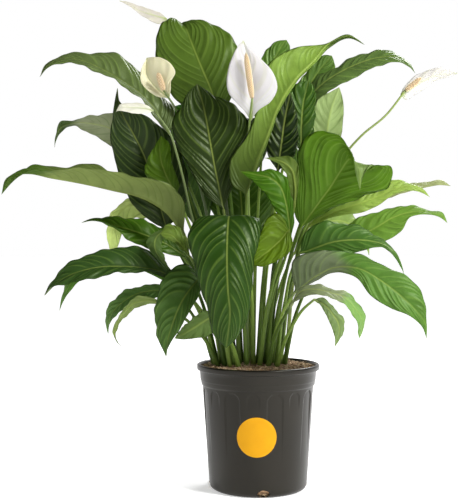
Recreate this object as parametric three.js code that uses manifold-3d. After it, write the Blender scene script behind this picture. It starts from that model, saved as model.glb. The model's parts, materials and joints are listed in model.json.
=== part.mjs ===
// A peace lily (Spathiphyllum) growing in a fluted nursery pot. Millimetres, +Z up.
// The origin is the middle of the pot's base, and -Y is the front of the plant.
import * as THREE from "three";
import { mergeVertices } from "three/addons/utils/BufferGeometryUtils.js";
import Module from "manifold-3d";

const wasm = await Module();
wasm.setup();

// ---- Driving dimensions ----

// Pot
const POT_HEIGHT = 251;
const POT_WALL = 2.8;
const POT_FLOOR = 3.5;
const BASE_RADIUS = 99; // body wall where it leaves the rounded base corner
const BODY_TOP_RADIUS = 112.5; // body wall just under the neck
const BASE_CORNER = 11; // rounding between floor and wall
const NECK_HEIGHT = 43; // stepped neck and rolled lip, together
const NECK_FLARE = 5.9; // how far the neck stands out from the body under the lip
const LIP_RADIUS = 124;
const LIP_HEIGHT = 12;
const POT_SIDES = 48;

// Flutes and drain holes, each repeated evenly round the wall
const FLUTE_COUNT = 8;
const FLUTE_WIDTH = 34;
const FLUTE_DEPTH = 1.3;
const FLUTE_FOOT = 15; // height of a flute's lower end
const FLUTE_HEAD = 204; // height of its round top
const FLUTE_AZIMUTH = 16; // degrees from the front, towards +X
const DRAIN_COUNT = 4;
const DRAIN_WIDTH = 24;
const DRAIN_HEIGHT = 15;
const DRAIN_AZIMUTH = 4.5;

// Label on the front of the wall
const LABEL_RADIUS = 39;
const LABEL_HEIGHT = 120; // height of its middle
const LABEL_AZIMUTH = -3.4; // degrees from the front, towards +X
const LABEL_THICKNESS = 0.5;

// Potting mix
const MIX_EDGE_LEVEL = 244;
const MIX_MOUND = 7; // how much higher the mix is in the middle
const CLEARANCE = 0.3; // kept between pieces that touch
const FOOT_LIFT = 0.3; // more of it under a stalk, whose foot is flat on the mounded mix

// Leaves and flowers
const BLADE_THICKNESS = 0.9;
const BLADE_BULGE = 0.07; // arch of each half blade, as a share of its width
const MIDRIB_DEPTH = 2.2; // keel under the blade at its base
const STALK_FOOT_RADIUS = 4.2;
const STALK_TOP_RADIUS = 2.6;
const SPATHE_THICKNESS = 1.0;
const FLOWER_STALK_RADIUS = 2.6;

// The crown is laid out on a front elevation, the plane y = 0, drawn from a station point.
// place() carries a drawn point back or forward along its line of sight to its own depth.
const STATION = [-59, -1990, 481];

// ---- Colours ----

const COLOURS = {
  pot: 0x3a3a35,
  mix: 0x5a4632,
  label: 0xf6b21c,
  leafDark: 0x2c5a22,
  leafMid: 0x3f7a2a,
  leafBright: 0x6a9a35,
  leafPale: 0x93a763,
  stalk: 0x8fae4c,
  spathe: 0xf1f0ea,
  spadix: 0xd9b183,
};

function material(colour, roughness) {
  return new THREE.MeshStandardMaterial({
    color: colour,
    roughness,
    metalness: 0,
  });
}

// ---- Small geometry helpers ----

const vec = (x, y, z) => new THREE.Vector3(x, y, z);
const degrees = (angle) => (angle * Math.PI) / 180;
const mix = (a, b, t) => a + (b - a) * t;

function place(x, y, z) {
  const spread = (y - STATION[1]) / -STATION[1];
  return vec(
    STATION[0] + (x - STATION[0]) * spread,
    y,
    STATION[2] + (z - STATION[2]) * spread,
  );
}

// Joins rings of equal length into one closed skin. The last entry may be a single point.
// The second half of each ring mirrors the first half's diagonals, so that the two faces of
// a thin blade stay parallel where it twists.
function loft(rings) {
  const size = rings[0].length;
  const last = rings[rings.length - 1];
  const pointed = last.length === 1;
  const faces = [];
  for (let i = 1; i < size - 1; i++) faces.push([0, i + 1, i]);
  const full = pointed ? rings.length - 1 : rings.length;
  for (let r = 0; r < full - 1; r++) {
    for (let i = 0; i < size; i++) {
      const a = r * size + i;
      const b = r * size + ((i + 1) % size);
      if (i < size / 2) {
        faces.push([a, b, b + size], [a, b + size, a + size]);
      } else {
        faces.push([a, b, a + size], [b, b + size, a + size]);
      }
    }
  }
  const start = (full - 1) * size;
  if (pointed) {
    for (let i = 0; i < size; i++) {
      faces.push([start + i, start + ((i + 1) % size), full * size]);
    }
  } else {
    for (let i = 1; i < size - 1; i++) {
      faces.push([start, start + i, start + i + 1]);
    }
  }
  const geometry = new THREE.BufferGeometry();
  const points = rings.flat().flatMap((p) => [p.x, p.y, p.z]);
  geometry.setAttribute("position", new THREE.Float32BufferAttribute(points, 3));
  geometry.setIndex(faces.flat());
  return facingOut(geometry);
}

// Turns every face round when the closed skin encloses a negative volume.
function facingOut(geometry) {
  const position = geometry.getAttribute("position");
  const index = geometry.getIndex();
  const a = vec(0, 0, 0);
  const b = vec(0, 0, 0);
  const c = vec(0, 0, 0);
  let volume = 0;
  for (let i = 0; i < index.count; i += 3) {
    a.fromBufferAttribute(position, index.getX(i));
    b.fromBufferAttribute(position, index.getX(i + 1));
    c.fromBufferAttribute(position, index.getX(i + 2));
    volume += a.dot(b.cross(c)) / 6;
  }
  if (volume < 0) {
    for (let i = 0; i < index.count; i += 3) {
      const keep = index.getX(i);
      index.setX(i, index.getX(i + 1));
      index.setX(i + 1, keep);
    }
  }
  geometry.computeVertexNormals();
  return geometry;
}

function toSolid(geometry) {
  const bare = geometry.clone();
  bare.deleteAttribute("normal");
  bare.deleteAttribute("uv");
  const merged = mergeVertices(bare, 1e-3);
  return new wasm.Manifold(
    new wasm.Mesh({
      numProp: 3,
      vertProperties: merged.attributes.position.array,
      triVerts: new Uint32Array(merged.index.array),
    }),
  );
}

function toGeometry(solid) {
  const mesh = solid.getMesh();
  const geometry = new THREE.BufferGeometry();
  const points = new THREE.Float32BufferAttribute(mesh.vertProperties, mesh.numProp);
  geometry.setAttribute("position", points);
  geometry.setIndex(new THREE.BufferAttribute(mesh.triVerts, 1));
  geometry.computeVertexNormals();
  return geometry;
}

// Turns a profile of [radius, height] points about the Z axis.
function turned(profile, sides) {
  const points = profile.map(([r, z]) => new THREE.Vector2(r, z));
  const geometry = new THREE.LatheGeometry(points, sides);
  return geometry.rotateX(Math.PI / 2);
}

// ---- Pot, potting mix and label ----

const NECK_FOOT = POT_HEIGHT - NECK_HEIGHT;

function wallRadius(z) {
  const share = (z - BASE_CORNER) / (NECK_FOOT - BASE_CORNER);
  return mix(BASE_RADIUS, BODY_TOP_RADIUS, share);
}

// The neck steps out twice above the body, then the lip rolls over.
const NECK_PROFILE = [
  [BODY_TOP_RADIUS + 1.7, NECK_FOOT + 1],
  [BODY_TOP_RADIUS + 3.5, NECK_FOOT + 10],
  [BODY_TOP_RADIUS + 4.5, NECK_FOOT + 12],
  [BODY_TOP_RADIUS + NECK_FLARE, POT_HEIGHT - LIP_HEIGHT],
];
const LIP_PROFILE = [
  [LIP_RADIUS - 2, POT_HEIGHT - LIP_HEIGHT + 0.6],
  [LIP_RADIUS, POT_HEIGHT - LIP_HEIGHT + 3],
  [LIP_RADIUS, POT_HEIGHT - 3],
  [LIP_RADIUS - 2, POT_HEIGHT - 0.5],
  [LIP_RADIUS - 5, POT_HEIGHT],
];

// Inner face of the wall, from the lip down to the floor.
const INNER_PROFILE = [
  [BODY_TOP_RADIUS + NECK_FLARE - POT_WALL + 0.6, POT_HEIGHT - 2],
  [BODY_TOP_RADIUS + NECK_FLARE - POT_WALL, POT_HEIGHT - LIP_HEIGHT],
  [BODY_TOP_RADIUS + 4 - POT_WALL, NECK_FOOT + 12],
  [BODY_TOP_RADIUS - POT_WALL, NECK_FOOT - 1],
  [BASE_RADIUS - POT_WALL, BASE_CORNER + 1],
  [BASE_RADIUS - POT_WALL - 5, POT_FLOOR + 1.5],
  [BASE_RADIUS - POT_WALL - 9, POT_FLOOR],
];

function around(azimuth, radius, z) {
  const angle = degrees(azimuth);
  return vec(radius * Math.sin(angle), -radius * Math.cos(angle), z);
}

function fluteCutter(azimuth) {
  const half = FLUTE_WIDTH / 2;
  const outline = new THREE.Shape();
  outline.moveTo(-half, FLUTE_FOOT);
  outline.lineTo(half, FLUTE_FOOT);
  outline.lineTo(half, FLUTE_HEAD - half);
  outline.absarc(0, FLUTE_HEAD - half, half, 0, Math.PI, false);
  outline.lineTo(-half, FLUTE_FOOT);
  const slab = new THREE.ExtrudeGeometry(outline, {
    depth: 12,
    bevelEnabled: false,
    curveSegments: 5,
  });
  const taper = (BODY_TOP_RADIUS - BASE_RADIUS) / (NECK_FOOT - BASE_CORNER);
  slab.rotateX(Math.PI / 2 + Math.atan(taper));
  slab.translate(0, -(wallRadius(0) - FLUTE_DEPTH), 0);
  return toSolid(slab.rotateZ(degrees(azimuth)));
}

function drainCutter(azimuth) {
  const hole = new THREE.CylinderGeometry(1, 1, 16, 12);
  hole.scale(DRAIN_WIDTH / 2, 1, DRAIN_HEIGHT / 2);
  hole.translate(0, -BASE_RADIUS, DRAIN_HEIGHT / 2 + 1);
  return toSolid(hole.rotateZ(degrees(azimuth)));
}

function potGeometry() {
  const corner = [
    [BASE_RADIUS - BASE_CORNER, 0],
    [BASE_RADIUS - BASE_CORNER * 0.3, BASE_CORNER * 0.3],
    [BASE_RADIUS, BASE_CORNER],
  ];
  const profile = [
    [0, 0],
    ...corner,
    [wallRadius(NECK_FOOT / 2), NECK_FOOT / 2],
    [BODY_TOP_RADIUS, NECK_FOOT],
    ...NECK_PROFILE,
    ...LIP_PROFILE,
    ...INNER_PROFILE,
    [0, POT_FLOOR],
  ];
  let pot = toSolid(facingOut(mergeVertices(bareOf(turned(profile, POT_SIDES)), 1e-3)));
  for (let i = 0; i < FLUTE_COUNT; i++) {
    pot = pot.subtract(fluteCutter(FLUTE_AZIMUTH + (i * 360) / FLUTE_COUNT));
  }
  for (let i = 0; i < DRAIN_COUNT; i++) {
    pot = pot.subtract(drainCutter(DRAIN_AZIMUTH + (i * 360) / DRAIN_COUNT));
  }
  return toGeometry(pot);
}

function bareOf(geometry) {
  geometry.deleteAttribute("normal");
  geometry.deleteAttribute("uv");
  return geometry;
}

const MIX_RADIUS = BODY_TOP_RADIUS + NECK_FLARE - POT_WALL - CLEARANCE - 0.4;

function mixLevel(x, y) {
  const share = Math.hypot(x, y) / MIX_RADIUS;
  return MIX_EDGE_LEVEL + MIX_MOUND * (1 - share * share);
}

function mixGeometry() {
  const inset = CLEARANCE + 0.1;
  const top = [0, 0.3, 0.6, 0.85, 1].map((share) => [
    share * MIX_RADIUS,
    mixLevel(share * MIX_RADIUS, 0),
  ]);
  const side = INNER_PROFILE.slice(2).map(([r, z]) => [r - inset, z + inset]);
  const profile = [...top, ...side, [0, POT_FLOOR + inset]];
  return facingOut(mergeVertices(bareOf(turned(profile, POT_SIDES)), 1e-3));
}

// A thin disc bent round the wall, centred on the front.
function labelGeometry() {
  const sides = 24;
  const bands = 3;
  const grid = [0, LABEL_THICKNESS].map((lift) => {
    const rings = [];
    for (let b = 1; b <= bands; b++) {
      const reach = (LABEL_RADIUS * b) / bands;
      for (let i = 0; i < sides; i++) {
        const angle = (i / sides) * 2 * Math.PI;
        const z = LABEL_HEIGHT + reach * Math.sin(angle);
        const radius = wallRadius(z) + CLEARANCE + lift;
        const turn = (reach * Math.cos(angle)) / wallRadius(z);
        rings.push(around(LABEL_AZIMUTH + (turn * 180) / Math.PI, radius, z));
      }
    }
    const middle = wallRadius(LABEL_HEIGHT) + CLEARANCE + lift;
    rings.push(around(LABEL_AZIMUTH, middle, LABEL_HEIGHT));
    return rings;
  });
  const half = grid[0].length;
  const faces = [];
  for (let i = 0; i < sides; i++) {
    const j = (i + 1) % sides;
    faces.push([half - 1, j, i], [2 * half - 1, half + i, half + j]);
    for (let b = 0; b < bands - 1; b++) {
      const inner = b * sides;
      const outer = inner + sides;
      faces.push([inner + i, inner + j, outer + j], [inner + i, outer + j, outer + i]);
      faces.push([half + inner + i, half + outer + j, half + inner + j]);
      faces.push([half + inner + i, half + outer + i, half + outer + j]);
    }
    const rim = (bands - 1) * sides;
    faces.push([rim + i, rim + j, half + rim + j], [rim + i, half + rim + j, half + rim + i]);
  }
  const geometry = new THREE.BufferGeometry();
  const points = grid.flat().flatMap((p) => [p.x, p.y, p.z]);
  geometry.setAttribute("position", new THREE.Float32BufferAttribute(points, 3));
  geometry.setIndex(faces.flat());
  return facingOut(geometry);
}

// ---- Leaves ----

// Shares of the blade's length at which its cross sections stand.
const BLADE_STATIONS = [0.05, 0.15, 0.28, 0.42, 0.56, 0.7, 0.82, 0.92];
const STALK_STATIONS = [0, 0.18, 0.38, 0.6, 0.8, 1];

function smooth(points) {
  return new THREE.CatmullRomCurve3(points, false, "centripetal");
}

// Lengths along a drawn polyline of [x, z] points, as shares of the whole.
function shares(points) {
  const along = [0];
  for (let i = 1; i < points.length; i++) {
    const step = Math.hypot(points[i][0] - points[i - 1][0], points[i][1] - points[i - 1][1]);
    along.push(along[i - 1] + step);
  }
  return along.map((d) => d / along[along.length - 1]);
}

function depthAt(rib, t) {
  const at = shares(rib.map(([x, , z]) => [x, z]));
  const i = Math.max(1, at.findIndex((s) => s >= t));
  const local = (t - at[i - 1]) / (at[i] - at[i - 1]);
  return mix(rib[i - 1][1], rib[i][1], local);
}

// One margin of a blade, from its base to its tip. Its points are drawn as [x, z], and lie
// lean deeper than the rib at the widest place, or at a depth of their own past the rib.
function marginCurve(rib, edge, lean) {
  const base = rib[0];
  const tip = rib[rib.length - 1];
  const drawn = [[base[0], base[2]], ...edge, [tip[0], tip[2]]];
  const at = shares(drawn);
  const points = drawn.map(([x, z, own], i) => {
    const swell = Math.pow(4 * at[i] * (1 - at[i]), 0.6);
    const past = own === undefined ? lean * swell : own;
    return place(x, depthAt(rib, Math.min(at[i], 1)) + past, z);
  });
  return smooth(points);
}

// An eight-sided section: margin, three points above, margin, three points below.
function section(left, middle, right, along, thickness, keel) {
  const up = right.clone().sub(left).cross(along).normalize();
  const halfUp = (a, b) => {
    const own = b.clone().sub(a).cross(along);
    return own.length() > 1 ? own.normalize() : up;
  };
  const between = (a, b, side, lift) => {
    const arch = BLADE_BULGE * a.distanceTo(b);
    return a.clone().lerp(b, 0.5).addScaledVector(side, arch + lift);
  };
  const upLeft = halfUp(left, middle);
  const upRight = halfUp(middle, right);
  const half = thickness / 2;
  return [
    left,
    between(left, middle, upLeft, half),
    middle.clone().addScaledVector(up, half),
    between(middle, right, upRight, half),
    right,
    between(middle, right, upRight, -half),
    middle.clone().addScaledVector(up, -half - keel),
    between(left, middle, upLeft, -half),
  ];
}

// A round section in the same point order, with its left at the blade's left.
function roundSection(centre, along, across, radius) {
  const up = across.clone().cross(along).normalize();
  const side = along.clone().cross(up).normalize();
  const ring = [];
  for (let i = 0; i < 8; i++) {
    const angle = (i / 8) * 2 * Math.PI;
    const point = centre.clone().addScaledVector(side, -radius * Math.cos(angle));
    ring.push(point.addScaledVector(up, radius * Math.sin(angle)));
  }
  return ring;
}

function bladeSections(spec, thickness, keel) {
  const rib = smooth(spec.rib.map(([x, y, z]) => place(x, y, z)));
  const [leanA, leanB] = spec.lean;
  let left = marginCurve(spec.rib, spec.edges[0], leanA);
  let right = marginCurve(spec.rib, spec.edges[1], leanB);
  const across = right.getPointAt(0.5).sub(left.getPointAt(0.5));
  const upper = across.cross(rib.getTangentAt(0.5));
  if (upper.dot(vec(...spec.upper)) < 0) {
    [left, right] = [right, left];
  }
  const rings = BLADE_STATIONS.map((t) => {
    const along = rib.getTangentAt(t);
    const points = [left, rib, right].map((curve) => curve.getPointAt(t));
    return section(...points, along, thickness, keel * (1 - t));
  });
  return { rings, rib, left, right, apex: rib.getPointAt(1) };
}

// A stalk's foot, standing just clear of the mix.
function footAt([x, y]) {
  return vec(x, y, mixLevel(x, y) + CLEARANCE + FOOT_LIFT);
}

function stalkPath(spec, base) {
  const foot = footAt(spec.foot);
  const bend = vec(
    mix(foot.x, base.x, 0.3),
    mix(foot.y, base.y, 0.3),
    mix(foot.z, base.z, 0.48),
  );
  const via = (spec.stalk ?? []).map(([px, py, pz]) => place(px, py, pz));
  return [foot, ...(via.length ? via : [bend])];
}

// A leaf in one piece: a stalk from the mix, running into the blade's midrib.
function leafGeometry(spec) {
  const blade = bladeSections(spec, BLADE_THICKNESS, MIDRIB_DEPTH);
  const base = blade.rib.getPointAt(0);
  const stalkPoints = stalkPath(spec, base);
  const lead = blade.rib.getPointAt(0.12);
  const path = smooth([...stalkPoints, base, lead]);
  const end = stalkPoints.length / (stalkPoints.length + 1);
  const across = blade.right.getPointAt(0.1).sub(blade.left.getPointAt(0.1));
  const stalkRings = STALK_STATIONS.map((t) => {
    const along = path.getTangent(t * end);
    const radius = mix(STALK_FOOT_RADIUS, STALK_TOP_RADIUS, Math.pow(t, 0.7));
    const centre = path.getPoint(t * end);
    if (t === 0) along.set(0, 0, 1);
    return roundSection(centre, along, across, radius);
  });
  return loft([...stalkRings, ...blade.rings, [blade.apex]]);
}

// ---- Flowers ----

function spatheGeometry(spec) {
  const blade = bladeSections(spec, SPATHE_THICKNESS, 1.2);
  const across = blade.right.getPointAt(0.1).sub(blade.left.getPointAt(0.1));
  const start = roundSection(
    blade.rib.getPointAt(0),
    blade.rib.getTangentAt(0.02),
    across,
    1.8,
  );
  return loft([start, ...blade.rings, [blade.apex]]);
}

// A round rod along drawn points, with its radius at each share of the length.
function rodGeometry(curve, radii, steps, flatStart) {
  const rings = [];
  for (let i = 0; i <= steps; i++) {
    const t = i / steps;
    const along = curve.getTangentAt(t);
    if (i === 0 && flatStart) along.set(0, 0, 1);
    const side = Math.abs(along.x) > 0.9 ? vec(0, 1, 0) : vec(1, 0, 0);
    rings.push(roundSection(curve.getPointAt(t), along, side, radii(t)));
  }
  return loft(rings);
}

function flowerStalkGeometry(points, foot) {
  const via = points.map(([x, y, z]) => place(x, y, z));
  const curve = smooth([footAt(foot), ...via]);
  const radii = (t) => mix(FLOWER_STALK_RADIUS + 0.9, FLOWER_STALK_RADIUS - 0.6, t);
  return rodGeometry(curve, radii, 10, true);
}

function spadixGeometry(from, to, radius) {
  const curve = smooth([place(...from), place(...to)]);
  const radii = (t) => radius * Math.sqrt(Math.max(0.08, 1 - Math.pow(2 * t - 0.9, 4)));
  return rodGeometry(curve, radii, 7, false);
}

// ---- The crown's layout ----
// rib: points of the midrib, [x, depth, z] on the elevation, base to tip.
// edges: the two margins, [x, z] on the elevation, base to tip.
// lean: how much deeper than the rib each margin lies. upper: the way the glossy side looks.

const FRONT = [0, -1, 0];
const BACK = [0, 1, 0];
const SKY = [0, 0, 1];

const LEAVES = {
  leaf_left_crest: {
    foot: [-34, 24],
    rib: [[-75, 40, 740], [-93, 48, 800], [-111, 58, 843], [-132, 76, 894], [-148, 98, 934], [-158, 140, 940]],
    edges: [
      [[-118, 752], [-165, 785], [-198, 832], [-209, 876], [-204, 920], [-184, 956]],
      [[-62, 775], [-42, 815], [-32, 860], [-50, 909], [-95, 943], [-140, 948]],
    ],
    lean: [8, 8],
    upper: FRONT,
    tone: "leafMid",
  },
  leaf_left_high_arch: {
    foot: [-52, 22],
    rib: [[-182, 62, 712], [-205, 64, 760], [-240, 64, 800], [-290, 62, 832], [-342, 58, 860], [-390, 54, 871], [-430, 48, 860], [-444, 44, 832]],
    edges: [
      [[-168, 745], [-178, 785], [-215, 815], [-257, 862], [-306, 884], [-360, 880], [-410, 872]],
      [[-200, 736], [-239, 787], [-300, 830], [-345, 850], [-395, 862], [-428, 850]],
    ],
    lean: [32, -30],
    upper: SKY,
    tone: "leafDark",
  },
  leaf_left_shaded_arch: {
    foot: [-66, 22],
    rib: [[-238, 84, 650], [-262, 84, 695], [-300, 82, 728], [-340, 78, 738], [-380, 74, 738], [-408, 70, 722], [-414, 68, 689]],
    edges: [
      [[-250, 720], [-289, 758], [-326, 757], [-365, 746], [-400, 744]],
      [[-262, 665], [-300, 693], [-346, 720], [-385, 733], [-406, 712]],
    ],
    lean: [-18, 20],
    upper: SKY,
    tone: "leafPale",
  },
  leaf_left_upright: {
    foot: [-58, 6],
    rib: [[-185, 22, 520], [-205, 22, 590], [-228, 22, 665], [-258, 24, 725], [-280, 28, 768], [-286, 32, 811]],
    edges: [
      [[-221, 541], [-261, 583], [-287, 653], [-300, 698], [-298, 735], [-292, 780]],
      [[-145, 580], [-148, 655], [-178, 712], [-210, 742], [-245, 762], [-278, 778]],
    ],
    lean: [-8, -6],
    upper: FRONT,
    tone: "leafDark",
  },
  leaf_left_small_bright: {
    foot: [-68, -4],
    rib: [[-165, -12, 592], [-190, -14, 640], [-200, -14, 680], [-197, -12, 713]],
    edges: [
      [[-205, 608], [-231, 640], [-218, 679]],
      [[-160, 612], [-175, 659], [-180, 698]],
    ],
    lean: [-4, -4],
    upper: FRONT,
    tone: "leafBright",
  },
  leaf_left_long: {
    foot: [-50, -26],
    rib: [[-148, -78, 508], [-181, -84, 553], [-232, -92, 586], [-300, -98, 604], [-360, -102, 617], [-424, -104, 628], [-488, -104, 636], [-516, -102, 622], [-522, -100, 593]],
    edges: [
      [[-150, 545], [-152, 583], [-190, 619], [-247, 632], [-318, 636], [-354, 661], [-408, 640], [-470, 641]],
      [[-178, 570], [-240, 612], [-300, 640], [-333, 657], [-400, 646], [-439, 657], [-490, 641]],
    ],
    lean: [-30, 34],
    upper: SKY,
    tone: "leafPale",
  },
  leaf_left_olive: {
    foot: [-66, -31],
    rib: [[-137, -106, 466], [-158, -110, 492], [-178, -112, 512], [-198, -112, 514]],
    edges: [
      [[-146, 500], [-168, 532], [-188, 531]],
      [[-150, 476], [-172, 497], [-190, 505]],
    ],
    lean: [8, -8],
    upper: FRONT,
    tone: "leafBright",
  },
  leaf_centre_glossy: {
    foot: [-38, -12],
    rib: [[-70, -40, 562], [-78, -42, 601], [-88, -44, 650], [-97, -43, 700], [-109, -38, 765], [-124, -30, 819]],
    edges: [
      [[-105, 590], [-144, 655], [-171, 708], [-174, 742], [-156, 776], [-138, 806]],
      [[-54, 605], [-40, 660], [-22, 712], [-20, 752], [-62, 782], [-100, 803]],
    ],
    lean: [-6, 10],
    upper: FRONT,
    tone: "leafDark",
  },
  leaf_front_droop: {
    foot: [-24, -34],
    rib: [[-50, -80, 500], [-53, -112, 542], [-57, -140, 556], [-61, -170, 530], [-63, -192, 479], [-62, -204, 410], [-57, -206, 350], [-65, -200, 281]],
    edges: [
      [[-92, 512], [-124, 552], [-141, 519], [-132, 460], [-121, 410], [-103, 374], [-99, 337], [-82, 296]],
      [[-12, 508], [4, 546], [8, 520], [-8, 469], [-11, 410], [-21, 346], [-44, 300]],
    ],
    lean: [10, 10],
    upper: FRONT,
    tone: "leafDark",
  },
  leaf_low_left_droop: {
    foot: [-56, -42],
    rib: [[-118, -104, 425], [-138, -124, 402], [-158, -142, 370], [-172, -150, 335], [-182, -152, 300], [-187, -150, 264]],
    edges: [
      [[-138, 450], [-172, 446], [-198, 412], [-208, 370], [-210, 332], [-202, 298]],
      [[-116, 398], [-128, 374], [-140, 356], [-154, 328], [-170, 303], [-182, 285]],
    ],
    lean: [10, -10],
    upper: FRONT,
    tone: "leafDark",
  },
  leaf_left_level: {
    foot: [-85, -6],
    rib: [[-160, -58, 416], [-206, -70, 440], [-245, -82, 445], [-290, -94, 447], [-340, -106, 443], [-400, -116, 420], [-435, -120, 388]],
    edges: [
      [[-178, 443], [-215, 476], [-255, 490], [-305, 481], [-346, 473], [-382, 456], [-420, 418]],
      [[-195, 427], [-242, 436], [-300, 431], [-356, 418], [-400, 410], [-424, 402]],
    ],
    lean: [22, -30],
    upper: SKY,
    tone: "leafMid",
  },
  leaf_left_back_level: {
    foot: [-68, 36],
    rib: [[-150, 60, 400], [-210, 76, 444], [-280, 88, 456], [-345, 96, 440], [-388, 100, 402], [-404, 100, 357]],
    edges: [
      [[-180, 440], [-235, 478], [-290, 482], [-355, 460], [-392, 412]],
      [[-195, 420], [-250, 442], [-310, 438], [-360, 420], [-390, 386]],
    ],
    lean: [26, -14],
    upper: SKY,
    tone: "leafMid",
  },
  leaf_left_middle: {
    foot: [-74, 8],
    rib: [[-141, -14, 464], [-190, -22, 495], [-240, -30, 515], [-290, -38, 530], [-330, -44, 541], [-359, -46, 537]],
    edges: [
      [[-165, 500], [-217, 537], [-263, 547], [-301, 548], [-335, 546]],
      [[-182, 472], [-240, 490], [-272, 507], [-300, 530], [-335, 540]],
    ],
    lean: [18, -18],
    upper: SKY,
    tone: "leafDark",
  },
  leaf_left_pale_droop: {
    foot: [-82, 22],
    rib: [[-215, 66, 556], [-258, 60, 572], [-285, 54, 553], [-296, 50, 520], [-298, 46, 490], [-294, 44, 466]],
    edges: [
      [[-240, 588], [-284, 572], [-306, 540], [-306, 505], [-301, 480]],
      [[-230, 545], [-252, 546], [-270, 528], [-280, 503], [-287, 482]],
    ],
    lean: [-10, 10],
    upper: [0.6, 1, 0],
    tone: "leafPale",
  },
  leaf_left_striped_small: {
    foot: [-67, -18],
    rib: [[-186, -66, 524], [-206, -70, 508], [-210, -74, 485], [-198, -76, 462], [-180, -76, 442]],
    edges: [
      [[-204, 520], [-227, 500], [-219, 478], [-196, 456]],
      [[-190, 510], [-196, 492], [-192, 473], [-186, 455]],
    ],
    lean: [-8, 10],
    upper: FRONT,
    tone: "leafPale",
  },
  leaf_low_left_dark: {
    foot: [-89, 8],
    rib: [[-175, -10, 396], [-215, -16, 398], [-250, -22, 390], [-280, -28, 370], [-300, -32, 345], [-305, -34, 310]],
    edges: [
      [[-195, 411], [-235, 408], [-268, 400], [-298, 376], [-311, 345]],
      [[-205, 384], [-240, 375], [-268, 362], [-290, 347], [-302, 328]],
    ],
    lean: [14, -14],
    upper: SKY,
    tone: "leafDark",
  },
  leaf_low_left_curled: {
    foot: [-80, -20],
    rib: [[-188, -72, 370], [-222, -76, 379], [-255, -80, 371], [-277, -82, 347], [-291, -84, 318], [-288, -84, 296], [-278, -84, 284]],
    edges: [
      [[-212, 383], [-250, 387], [-268, 366], [-288, 339], [-295, 312]],
      [[-220, 371], [-245, 364], [-266, 348], [-283, 328], [-289, 304]],
    ],
    lean: [-14, 14],
    upper: SKY,
    tone: "leafPale",
  },
  leaf_low_front_pale: {
    foot: [-40, -48],
    rib: [[-92, -96, 348], [-115, -108, 333], [-140, -116, 317], [-170, -122, 301]],
    edges: [
      [[-103, 358], [-121, 352], [-141, 335], [-160, 317]],
      [[-88, 322], [-100, 306], [-125, 302], [-150, 299]],
    ],
    lean: [-8, 8],
    upper: BACK,
    tone: "leafPale",
  },
  leaf_right_behind_flower: {
    foot: [-10, 24],
    rib: [[10, 90, 720], [15, 95, 790], [26, 100, 850], [42, 104, 886], [58, 106, 908]],
    edges: [
      [[-10, 760], [-5, 820], [9, 872], [26, 899], [44, 907]],
      [[36, 750], [52, 810], [62, 860], [66, 892]],
    ],
    lean: [6, 6],
    upper: FRONT,
    tone: "leafDark",
  },
  leaf_right_great_lime: {
    foot: [-10, -20],
    rib: [[-24, -60, 588], [-10, -60, 640], [12, -57, 692], [30, -50, 744], [57, -41, 803], [86, -28, 837], [120, -10, 872], [150, 6, 905], [185, 14, 916], [217, 24, 898]],
    edges: [
      [[-50, 606], [-62, 640], [-34, 702], [-9, 727], [-1, 748], [4, 800], [15, 850], [52, 885], [99, 896], [136, 900], [170, 918], [200, 916]],
      [[-10, 622], [6, 662], [20, 700], [38, 750], [64, 802], [92, 836], [124, 868], [154, 898], [188, 911]],
    ],
    lean: [0, 12],
    upper: BACK,
    tone: "leafBright",
  },
  leaf_right_high_tip: {
    foot: [4, 34],
    rib: [[66, 62, 720], [92, 64, 790], [120, 66, 840], [150, 68, 876]],
    edges: [
      [[62, 770], [85, 825], [116, 864], [136, 878]],
      [[104, 770], [132, 815], [157, 850]],
    ],
    lean: [5, -5],
    upper: FRONT,
    tone: "leafDark",
  },
  leaf_right_high_arch: {
    foot: [16, 16],
    rib: [[88, 26, 748], [112, 28, 800], [150, 30, 832], [195, 30, 856], [240, 30, 871], [280, 28, 873], [308, 26, 860], [320, 24, 840]],
    edges: [
      [[92, 800], [130, 838], [180, 864], [222, 885], [262, 886], [300, 868]],
      [[112, 772], [135, 798], [176, 820], [209, 838], [245, 855], [285, 862], [312, 850]],
    ],
    lean: [24, -18],
    upper: SKY,
    tone: "leafDark",
  },
  leaf_right_upright: {
    foot: [13, 0],
    rib: [[88, -12, 680], [88, -12, 730], [92, -10, 780], [103, -8, 826]],
    edges: [
      [[72, 700], [64, 748], [58, 780], [72, 815]],
      [[104, 695], [114, 730], [117, 775], [116, 808]],
    ],
    lean: [-3, 3],
    upper: FRONT,
    tone: "leafDark",
  },
  leaf_right_striped: {
    foot: [30, 10],
    rib: [[130, 2, 660], [140, 4, 720], [148, 6, 765], [165, 10, 812]],
    edges: [
      [[112, 695], [109, 745], [119, 784]],
      [[162, 690], [173, 745], [173, 785]],
    ],
    lean: [-3, 3],
    upper: BACK,
    tone: "leafPale",
  },
  leaf_right_great_bright: {
    foot: [27, -8],
    rib: [[86, -50, 524], [118, -56, 569], [155, -62, 620], [186, -78, 666], [204, -92, 648], [207, -100, 601]],
    edges: [
      [[72, 560], [80, 643], [87, 702], [117, 722], [158, 719], [178, 700], [188, 678], [196, 650], [202, 620]],
      [[125, 550], [200, 585], [262, 607], [278, 643], [256, 652], [230, 652], [215, 632]],
    ],
    lean: [-6, 4],
    upper: FRONT,
    tone: "leafBright",
  },
  leaf_right_lime_level: {
    foot: [42, -4],
    rib: [[102, -22, 528], [150, -20, 556], [200, -16, 573], [250, -12, 592], [295, -8, 610], [330, -4, 607], [350, -2, 588]],
    edges: [
      [[122, 556], [153, 574], [200, 591], [241, 606], [274, 623], [308, 617], [338, 603]],
      [[118, 530], [147, 547], [200, 555], [235, 564], [258, 584], [299, 601], [325, 600]],
    ],
    lean: [12, -5],
    upper: SKY,
    tone: "leafBright",
  },
  leaf_right_back_level: {
    foot: [46, 22],
    rib: [[110, 50, 556], [190, 54, 584], [262, 58, 600], [325, 60, 611], [368, 62, 622], [392, 63, 611]],
    edges: [
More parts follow.
